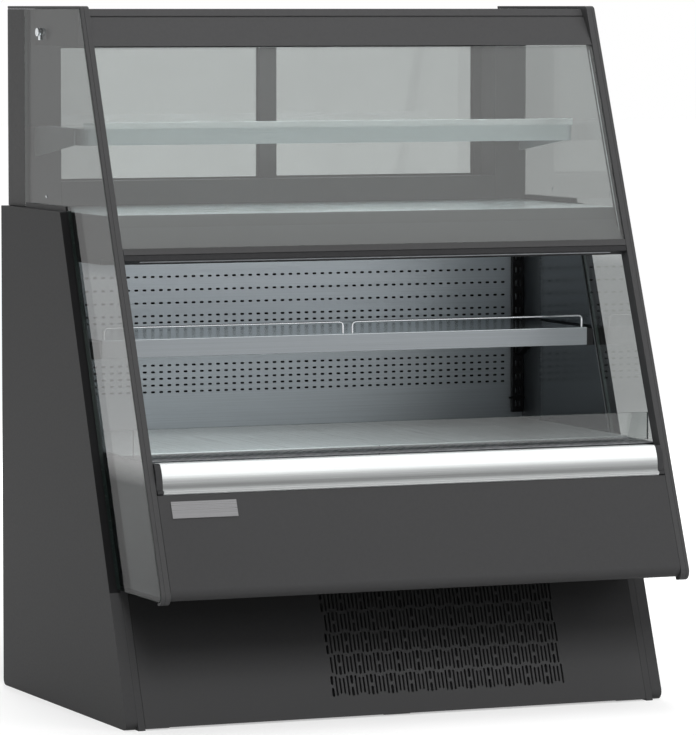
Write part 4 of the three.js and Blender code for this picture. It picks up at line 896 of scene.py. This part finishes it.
def gaskets():
    """The black seals along the end glasses, and the strips beside the front glass."""
    foot, head = FOOT + 20, TOP - 8
    lip = [behind(foot, 4), behind(foot, 6), behind(head, 6), behind(head, 4)]
    low, high = base_y(foot), base_y(PANEL_TOP)
    edge = [(low - 2, foot), (low - 0.2, foot), (high - 0.2, PANEL_TOP), (high - 2, PANEL_TOP)]
    front, rear, tall = high + 1, JAMB_FRONT - 1, 9
    leg = [
        (front, PANEL_TOP), (rear, PANEL_TOP), (rear, PANEL_TOP + tall),
        (front + tall * BASE_LEAN, PANEL_TOP + tall),
    ]
    at_ends("front_seal_%s", lip, END_IN, END_OUT - 0.6, RUBBER, soften=0.3)
    at_ends("rear_seal_%s", edge, END_IN, END_OUT - 0.6, RUBBER, soften=0.3)
    at_ends("lower_seal_%s_0", leg, END_OUT + 0.2, END_OUT + 2.2, RUBBER, soften=0.4)
    at_ends("lower_seal_%s_1", leg, END_IN - 2.2, END_IN - 0.2, RUBBER, soften=0.4)
    strips = ((9.6, 4.0, RUBBER), (13.8, 3.2, FLOOR_STEEL), (17.2, 5.0, RUBBER))
    for k, (inset, wide, material) in enumerate(strips):
        strip = slab(MID_TOP + 18, HEADER_BOTTOM - 3, inset, wide)
        at_ends("post_strip_%%s_%d" % k, strip, POST_IN - 1.0, POST_IN, material, soften=0.2)


def glasses():
    """The end panes, which reach from the fascia's foot to the roof, and the slanted front pane."""
    inset = 6.0
    low, high = FOOT + inset, HEADER_TOP - FIT
    ledge = PANEL_TOP + 2
    rear = REAR - 91.5 - FIT
    outline = [
        behind(low, inset), (base_y(low) - 2, low), (base_y(PANEL_TOP) - 2, ledge), (rear, ledge),
        (rear, high), behind(high, inset),
    ]
    outline = rounded(outline, [10, 0, 0, 0, 0, 0], 6)
    for made in at_ends("end_pane_%s", outline, END_IN, END_OUT, END_GLASS,
                        instead="end_glass_%s", more=[GLASS_EDGE]):
        mark_edges(made, 0)
    half = POST_IN - FIT
    made = swept("front_pane", slab(MID_TOP + 1, HEADER_BOTTOM - 0.4, 3, 6), -half, half, GLASS,
                 instead=["front_glass"], more=[GLASS_EDGE])
    shade_flat(made)


def riser():
    """The low clear strip on the return grille, which keeps the cold air in the well."""
    half = END_IN - 1.0
    front, thick, foot = -238.0, 6.0, WELL_DECK - 0.5
    made = block("well_riser", -half, half, front, front + thick, foot, RISER_TOP, RISER_GLASS,
                 more=[GLASS_EDGE])
    mark_edges(made, 1)


def clips():
    """The two bright stops on each end glass: a disc with a short tongue under it."""
    near = END_OUT + 0.1
    for sign, word in sides():
        for i, (y, z, size, proud) in enumerate(((209.5, 1186, 7.5, 8.0), (180.5, 896, 1.9, 1.5))):
            tongue = rect(y - size * 0.6, y + size * 0.6, z - size * 1.9, z - size * 0.5)

            def build(grid):
                for outline, reach in ((disc(y, z, size, 24), proud), (tongue, proud * 0.45)):
                    sweep(grid, outline, sign * near, sign * (near + reach), 0)

            made = mesh_of("glass_stop_%s_%d" % (word, i), build)
            settle(made, CHROME, soften=0.18 * size, steps=3)


# -------- header and doors
def header():
    """The folded beam over the front glass; its face is set back towards the top, with a groove."""
    half = POST_IN - FIT
    groove, groove_wide, sheet = HEADER_TOP - 15, 2.5, 4
    low, high = HEADER_BOTTOM, HEADER_TOP

    def set_back(z, inwards=0.0):
        return behind(z, 1.0 + 20.0 * (z - low) / (high - low) + inwards)

    outline = [
        (front_y(low) + 40, low), (front_y(low) + 40, low + sheet),
        set_back(low + sheet, 6), set_back(high - sheet, 4), (front_y(high) + HEADER_DEPTH, high - sheet),
        (front_y(high) + HEADER_DEPTH, high), set_back(high), set_back(groove + groove_wide),
        set_back(groove + groove_wide, 2.5), set_back(groove, 2.5), set_back(groove), set_back(low),
    ]
    swept("header_channel", outline, -half, half, GRAPHITE, instead=["header_beam"], soften=0.6)


def header_light():
    """The tube lamp under the roof, behind the header: its body, diffuser and end caps."""
    half, cap = POST_IN - 30, 6
    y0 = front_y(HEADER_TOP) + HEADER_DEPTH + 14
    y1 = y0 + 26
    top = HEADER_TOP - 3 - FIT
    z0, z1 = top - 14, top - 5
    block("lamp_body", -half, half, y0, y1, z1, top, GALVANISED, soften=0.6)
    swept("lamp_diffuser", trough(y0 + 1.5, y1 - 1.5, z0, z1, 7), -half + cap, half - cap, LAMP,
          instead=["header_light"])
    at_ends("lamp_cap_%s", trough(y0, y1, z0, z1, 7), half - cap, half, BLACK, soften=0.5)


def door(word):
    """A sliding door: four mitred members, a bead round the glass, and a finger pull."""
    frame_node, glass_node = "door_%s_frame" % word, "door_%s_glass" % word
    x0, x1, y0, y1, z0, z1 = box_mm(frame_node)
    stile, rail, bead = DOOR_STILE, DOOR_RAIL, 3.0
    body = "door_" + word
    outer = rect(x0, x1, z0, z1)
    inner = rect(x0 + stile, x1 - stile, z0 + rail, z1 - rail)
    ring = rect(x0 + stile + bead, x1 - stile - bead, z0 + rail + bead, z1 - rail - bead)
    pulled, pull_x = (3, x0 + stile / 2) if word == "left" else (1, x1 - stile / 2)
    for i, part in enumerate(("bottom", "side_b", "top", "side_a")):
        j = (i + 1) % 4
        shape = [outer[i], outer[j], inner[j], inner[i]]
        back = y1 - PULL_DEPTH if i == pulled else y1
        swept("%s_%s" % (body, part), shape, y0, back, GRAPHITE, axis=1, body=body,
              instead=[frame_node] if not i else (), soften=0.5)
        if i == pulled:
            finger_pull(body, shape, back, pull_x, (z0 + z1) / 2)
    middle = (y0 + y1) / 2
    for k, (a, b) in enumerate(((y0 + 1.2, middle - 2.1), (middle + 2.1, y1 - 1.2))):

        def build(grid):
            for i in range(4):
                j = (i + 1) % 4
                sweep(grid, [inner[i], inner[j], ring[j], ring[i]], a, b, 1)

        settle(mesh_of("%s_bead_%d" % (body, k), build), RUBBER, body, soften=0.3)
    made = block(body + "_pane", *box_mm(glass_node), GLASS, body=body, instead=[glass_node],
                 more=[GLASS_EDGE])
    mark_edges(made, 1)


def finger_pull(body, shape, back, x, z):
    """The stile's rear skin with the pull cut through it, and a dark cup in the cut."""
    hole, cup = slot(x, z, 90, 14, True, 8), slot(x, z, 89.6, 13.6, True, 8)
    sheet_with_holes(body + "_pull_skin", shape, [hole], PULL_DEPTH, on_wall(back + PULL_DEPTH / 2),
                     GRAPHITE, body=body, soften=0.3)
    swept(body + "_pull_cup", cup, back + 0.05, back + 0.5, BLACK, axis=1, body=body)


# -------- mid deck and shelves
def mid_deck():
    """The upper floor: a pale steel sheet, and the grey slope that runs down to the front glass."""
    seat, under, depth = MID_TOP + 0.6, MID_BOTTOM - FIT, POST_DEPTH + FIT
    lip = on_front(MID_TOP + 8, 10)
    slope = (DECK_TOP - lip[1]) / SLOPE_RUN
    joint = behind(lip[1], 0)[0] + POST_DEPTH / UP_Z + FIT
    rise = (joint - lip[0]) * slope / (1 - LEAN * slope)
    cut = behind(lip[1] + rise, depth)
    body = [
        (CANOPY_FRONT, under), (CANOPY_FRONT, DECK_UNDER), (REAR, DECK_UNDER), (REAR, DECK_TOP),
        (lip[0] + SLOPE_RUN, DECK_TOP), cut, behind(seat, depth), behind(under, depth),
    ]
    nose = [cut, lip, on_front(seat, 10), on_front(seat, depth)]
    for name, outline, half, nodes in (
        ("mid_deck_body", body, PANEL_IN - FIT, ["insulated_mid_deck"]),
        ("mid_deck_nose", nose, POST_IN - FIT, []),
    ):
        made = swept(name, outline, -half, half, DECK_END, instead=nodes, soften=0.5,
                     more=[FLOOR_STEEL, GREY_DECK, CANOPY_STEEL])
        for face in made.data.polygons:
            up = face.normal.z
            if abs(face.normal.x) < 0.5:
                face.material_index = 1 if up > 0.95 else 2 if up > 0.3 else 3 if up < -0.9 else 0


def upper_shelf_edge():
    """The upper shelf's upturned front edge with its hem, and the slim lamp behind its lip."""
    front, top, low = UPPER_SHELF_FRONT, UPPER_SHELF_TOP, UPPER_SHELF_LOW
    rim = [
        (0.2, -2), (1.6, -2), (1.6, 7.4), (3.4, 7.4), (3.4, 9.6), (2.6, 10.4), (1.0, 10.4), (0.2, 9.6),
    ]
    rim = [(front + y, top + z) for y, z in rim]
    swept("upper_shelf_rim", rim, -472, 472, UPPER_SHELF, soften=0.3)
    bar = trough(front + 4, front + 15, low + 1, low + 7, 2, 4)
    swept("upper_shelf_lamp", bar, -440, 440, SHELF_LAMP, soften=0.2)


def wire_guards():
    """Each guard is one bent wire that stands behind the lower shelf's lip."""
    inner, outer = 9, 460.0
    shelf_front = REAR - 416.5
    y = shelf_front + 9
    foot, top = 652.3, 672.75
    for sign, word in sides():
        corners = ((inner, foot), (inner, top), (outer, top), (outer, foot))
        made = wire("guard_wire_" + word, bent([(sign * x, y, z) for x, z in corners], 8.0), 2.0)
        settle(made, CHROME, instead=["wire_guard_" + word])


def uprights():
    """The slotted bars that the shelf brackets hook into, each with its two legs and a tab."""
    low, high = 475.0, WELL_TOP
    sheet, margin, pitch = 1.6, 6.5, 25
    for sign, word in sides():
        x0, x1 = span(sign, 460, 482)
        holes = []
        for i in range(12):
            for x in (x0 + margin, x1 - margin):
                holes.append(slot(x, low + 16 + i * pitch, 12, 3.4, True, 3))
        sheet_with_holes("slotted_bar_" + word, rect(x0, x1, low, high), holes, sheet, on_wall(278.9),
                         DARK_STEEL, instead=["shelf_upright_" + word])
        for k, x in enumerate((x0, x1 - sheet)):
            block("bar_leg_%s_%d" % (word, k), x, x + sheet, 279.7, 287.7, low, high, DARK_STEEL,
                  soften=0.3)
    at_ends("bar_tab_%s", rect(276.6, 278.0, 500.5, 503.5), 452, 487, DARK_STEEL, soften=0.4)


# -------- well
def back_panel():
    """The well's rear sheet with its full pattern of air slots."""
    half, columns, pitch, flange = 484.4, 57, 15.86, 2
    low, high = 447.0, WELL_TOP
    rows = (742.4, 718.3, 694.7, 671.2, 659.3, 581.3, 569.2, 556.9, 545.0, 532.9)
    holes = []
    for z in rows:
        for i in range(columns):
            holes.append(slot((i - columns // 2) * pitch, z, 8.2, 3.8, False, 3))
    sheet_with_holes("slotted_back", rect(-half, half, low, high), holes, 0.9, on_wall(288.5), STEEL_Z,
                     instead=["perforated_back_panel"])
    at_ends("back_leg_%s", rect(289.8, 330.7, low, high), half - flange, half, STEEL_Z, soften=0.3)


def return_grille():
    """The air return: a sheet of short staggered slots."""
    x0, x1, y0, y1, _, _ = box_mm("return_air_grille")
    columns, rows, row_pitch, border = 60, 8, 12.3, 10
    pitch = (x1 - x0 - 2 * border) / columns
    holes = []
    for row in range(rows):
        odd = row % 2
        for i in range(columns - odd):
            x = x0 + border + pitch * (i + (1.0 if odd else 0.5))
            holes.append(slot(x, y0 + 12 + row * row_pitch, 11.0, 5.0, False, 3))
    sheet_with_holes("return_grille", rect(x0, x1, y0, y1), holes, 1.6, at_height(462.0),
                     GRILLE_STEEL, instead=["return_air_grille"])


def canopy():
    """The rail under the front glass, the light strip, and the honeycomb that cold air falls from."""
    half = POST_IN - FIT
    swept("mid_rail_face", slab(RAIL_SEAM, MID_TOP, 0, 20), -half, half, GRAPHITE,
          instead=["mid_front_rail"], soften=0.6)
    swept("mid_rail_seal", slab(MID_BOTTOM, RAIL_SEAM, 1.0, 21.0), -half, half, RUBBER, soften=1.0,
          steps=3)
    x0, x1, y0, y1, z0, z1 = box_mm("canopy_light")
    lip, bed = y0 + 1.5, z0 + 1.4
    rim = [(y0, z0), (lip, z0), (lip, bed), (y1, bed), (y1, z1), (y0, z1)]
    swept("canopy_light_rim", rim, x0, x1, LAMP_FACE, instead=["canopy_light"], soften=0.4)
    block("canopy_light_lens", x0 + 4, x1 - 4, y0 + 1.8, y1, z0 + 0.3, z0 + 1.2, CANOPY_LAMP,
          soften=0.2)

    x0, x1, y0, y1, z0, z1 = box_mm("air_discharge_grille")
    cell = 9.4
    row_step = cell * 0.866
    holes = []
    for row in range(int((y1 - y0 - 6) / row_step)):
        odd = row % 2
        for i in range(int((x1 - x0 - 12) / cell) - odd):
            x = x0 + 8 + cell * (i + 0.5 + odd / 2)
            y = y0 + 4 + row_step * (row + 0.5)
            holes.append(disc(x, y, cell * 0.52, 6, math.pi / 6))
    sheet_with_holes("honeycomb", rect(x0, x1, y0, y1), holes, z1 - z0, at_height((z0 + z1) / 2),
                     BLACK, instead=["air_discharge_grille"])


# -------- rear cover and carried solids
def service_panel():
    """The rear cover: a hood over each louvre, openings for the switch and the gland, and screws."""
    half, face = PANEL_IN - FIT, SERVICE_FACE
    x0, x1, _, _, z0, z1 = box_mm("power_switch")
    x, z = (x0 + x1) / 2, (z0 + z1) / 2
    holes = [rect(x - 14, x + 14, z - 10.5, z + 10.5), disc(x, LOW_GLAND, 9.3, 32)]
    hood = [(0, 10.5), (3, 9), (5.4, 5.5), (6.4, -2), (5.6, -2), (4.6, 5), (2.4, 8), (0, 9)]
    cheek = [(0, -2), (6.4, -2), (5.4, 5.5), (3, 9), (0, 10.5)]
    louvres = [(middle - 150, middle + 150, KICK_LOW + 20 * (row + 2))
               for row in range(8) for middle in (-half / 2, half / 8)]
    holes += [rect(left, right, foot, foot + 8) for left, right, foot in louvres]

    def build(grid):
        for left, right, foot in louvres:
            for shape, start, end in (
                (hood, left - 1, right + 1), (cheek, left - 2, left - 1), (cheek, right + 1, right + 2),
            ):
                sweep(grid, [(face + y, foot + z) for y, z in shape], start, end, 0)

    settle(mesh_of("louvre_hoods", build), CHARCOAL)
    sheet_with_holes("service_sheet", rect(-half, half, KICK_LOW, SERVICE_TOP), holes, 2.0,
                     on_wall(face - 1), CHARCOAL, instead=["rear_service_panel"])
    for x in (-470, 0, 470):
        for z in (14, 229):
            screw("service_screw_%d_%d" % (x, z), x, face, z)


def carried_nodes():
    """The nodes that keep their solids: how far their edges are eased, in mm, and their finish."""
    for soften, material, *nodes in (
        (0.8, CHARCOAL, "roof_pan"),
        (0.8, GRAPHITE, "rear_jamb_left", "rear_jamb_right", "rear_sill", "rear_door_head"),
        (0.8, UPPER_SHELF, "upper_shelf"),
        (0.3, UPPER_SHELF, "upper_shelf_bracket_left", "upper_shelf_bracket_right"),
        (0.8, SHELF, "lower_shelf"),
        (0.6, DARK_STEEL, "lower_shelf_bracket_left", "lower_shelf_bracket_right"),
        (0.3, LINER, "end_liner_left", "end_liner_right"),
        (0.8, STEEL_Y, "deck_pan_left", "deck_pan_right"),
        (0.5, CHARCOAL, "insulated_tub"),
        # painted shade: the base plate, pan and box take the dark zinc
        (0.3, SHADED_ZINC, "base_plate", "condensate_pan", "control_box"),
        (0.3, GALVANISED, "evaporator_fan_plenum"),
        (0.3, FIN, "evaporator_coil"),
        (0.3, DARK_FIN, "condenser_coil"),
        (0.3, BLACK, "evaporator_fan_left", "evaporator_fan_right", "condenser_fan", "power_switch"),
        (0.3, DARK_STEEL, "condenser_fan_shroud", "compressor"),
        (0.3, COPPER, "suction_line", "discharge_line"),
    ):
        for node in nodes:
            carried(node, material, soften)


# -------- stage
def floor():
    """A pale floor that glows white, away from the part, for the rays that see surroundings."""
    grid = bmesh.new()
    bmesh.ops.create_grid(grid, x_segments=1, y_segments=1, size=40)
    mesh = bpy.data.meshes.new("floor")
    grid.to_mesh(mesh)
    grid.free()
    link("floor", mesh)
    made = Shader("pale_floor")
    made.colour(made.noise(2.0), (0.6, 0.6, 0.6), 0.02)
    made.plain(Roughness=0.9, Specular_IOR_Level=0.0)
    glow = made.node("ShaderNodeEmission")
    far = made.node("ShaderNodeVectorMath", operation="LENGTH")
    made.link(made.place, far.inputs[0])
    made.link(made.spread(far.outputs["Value"], 0.47, 0.88, 1.2, 4.0), glow.inputs["Strength"])
    both = made.node("ShaderNodeAddShader")
    made.link(made.bsdf.outputs["BSDF"], both.inputs[0])
    made.link(glow.outputs["Emission"], both.inputs[1])
    lit = made.mixed(made.seen_rays(), made.bsdf.outputs["BSDF"], both.outputs["Shader"])
    made.link(lit, made.out.inputs["Surface"])
    mesh.materials.append(made.material)


def surround():
    """A white surround, which lights the part only a little."""
    world = bpy.data.worlds.new("studio")
    world.use_nodes = True
    bpy.context.scene.world = world
    sky = Nodes(world.node_tree)
    backs = sky.tree.nodes["Background"], sky.node("ShaderNodeBackground")
    for back, strength in zip(backs, (0.25, 1.0)):
        back.inputs["Color"].default_value = (1, 1, 1, 1)
        back.inputs["Strength"].default_value = strength
    mix = sky.mixed(sky.seen_rays(), *[back.outputs["Background"] for back in backs])
    sky.link(mix, sky.tree.nodes["World Output"].inputs["Surface"])


def aimed(made, at, target):
    """Puts a lamp or the camera in its place and turns it to its target."""
    made.location = at
    made.rotation_euler = (Vector(target) - Vector(at)).to_track_quat("-Z", "Y").to_euler()


def studio_lamps():
    """Soft square lamps: place and side in metres, power in watts."""
    for name, at, size, power in (
        ("key", (-1.25, -5.1, 4.4), 2.4, 245.0),
        ("fill", (3.8, -4.0, 2.2), 3.0, 90.0),
        ("over", (0.3, -0.6, 4.6), 3.2, 70.0),
        ("rear", (0.6, 4.6, 3.2), 2.6, 170.0),
    ):
        light = bpy.data.lights.new(name, "AREA")
        light.shape = "SQUARE"
        light.size = size
        light.energy = power
        holder = link(name, light)
        holder.visible_glossy = False
        aimed(holder, at, (0, 0, 0.6))


def camera():
    """The photograph's view, from a fit to the edges in it."""
    data = bpy.data.cameras.new("camera")
    data.sensor_fit = "HORIZONTAL"
    data.sensor_width = 36.0
    data.lens = 257.2
    data.clip_end = 200.0
    made = link("camera", data)
    aimed(made, (-3.4261, -8.1383, 1.2333), (-0.0015, -0.0241, 0.5918))
    bpy.context.scene.camera = made


bpy.context.scene.view_settings.view_transform = "Standard"
camera()
floor()
surround()
studio_lamps()
side_panels()
kick_panel()
fascia()
name_plate()
bumper()
end_frames()
gaskets()
glasses()
riser()
clips()
header()
header_light()
door("left")
door("right")
mid_deck()
upper_shelf_edge()
wire_guards()
uprights()
back_panel()
return_grille()
canopy()
service_panel()
carried_nodes()
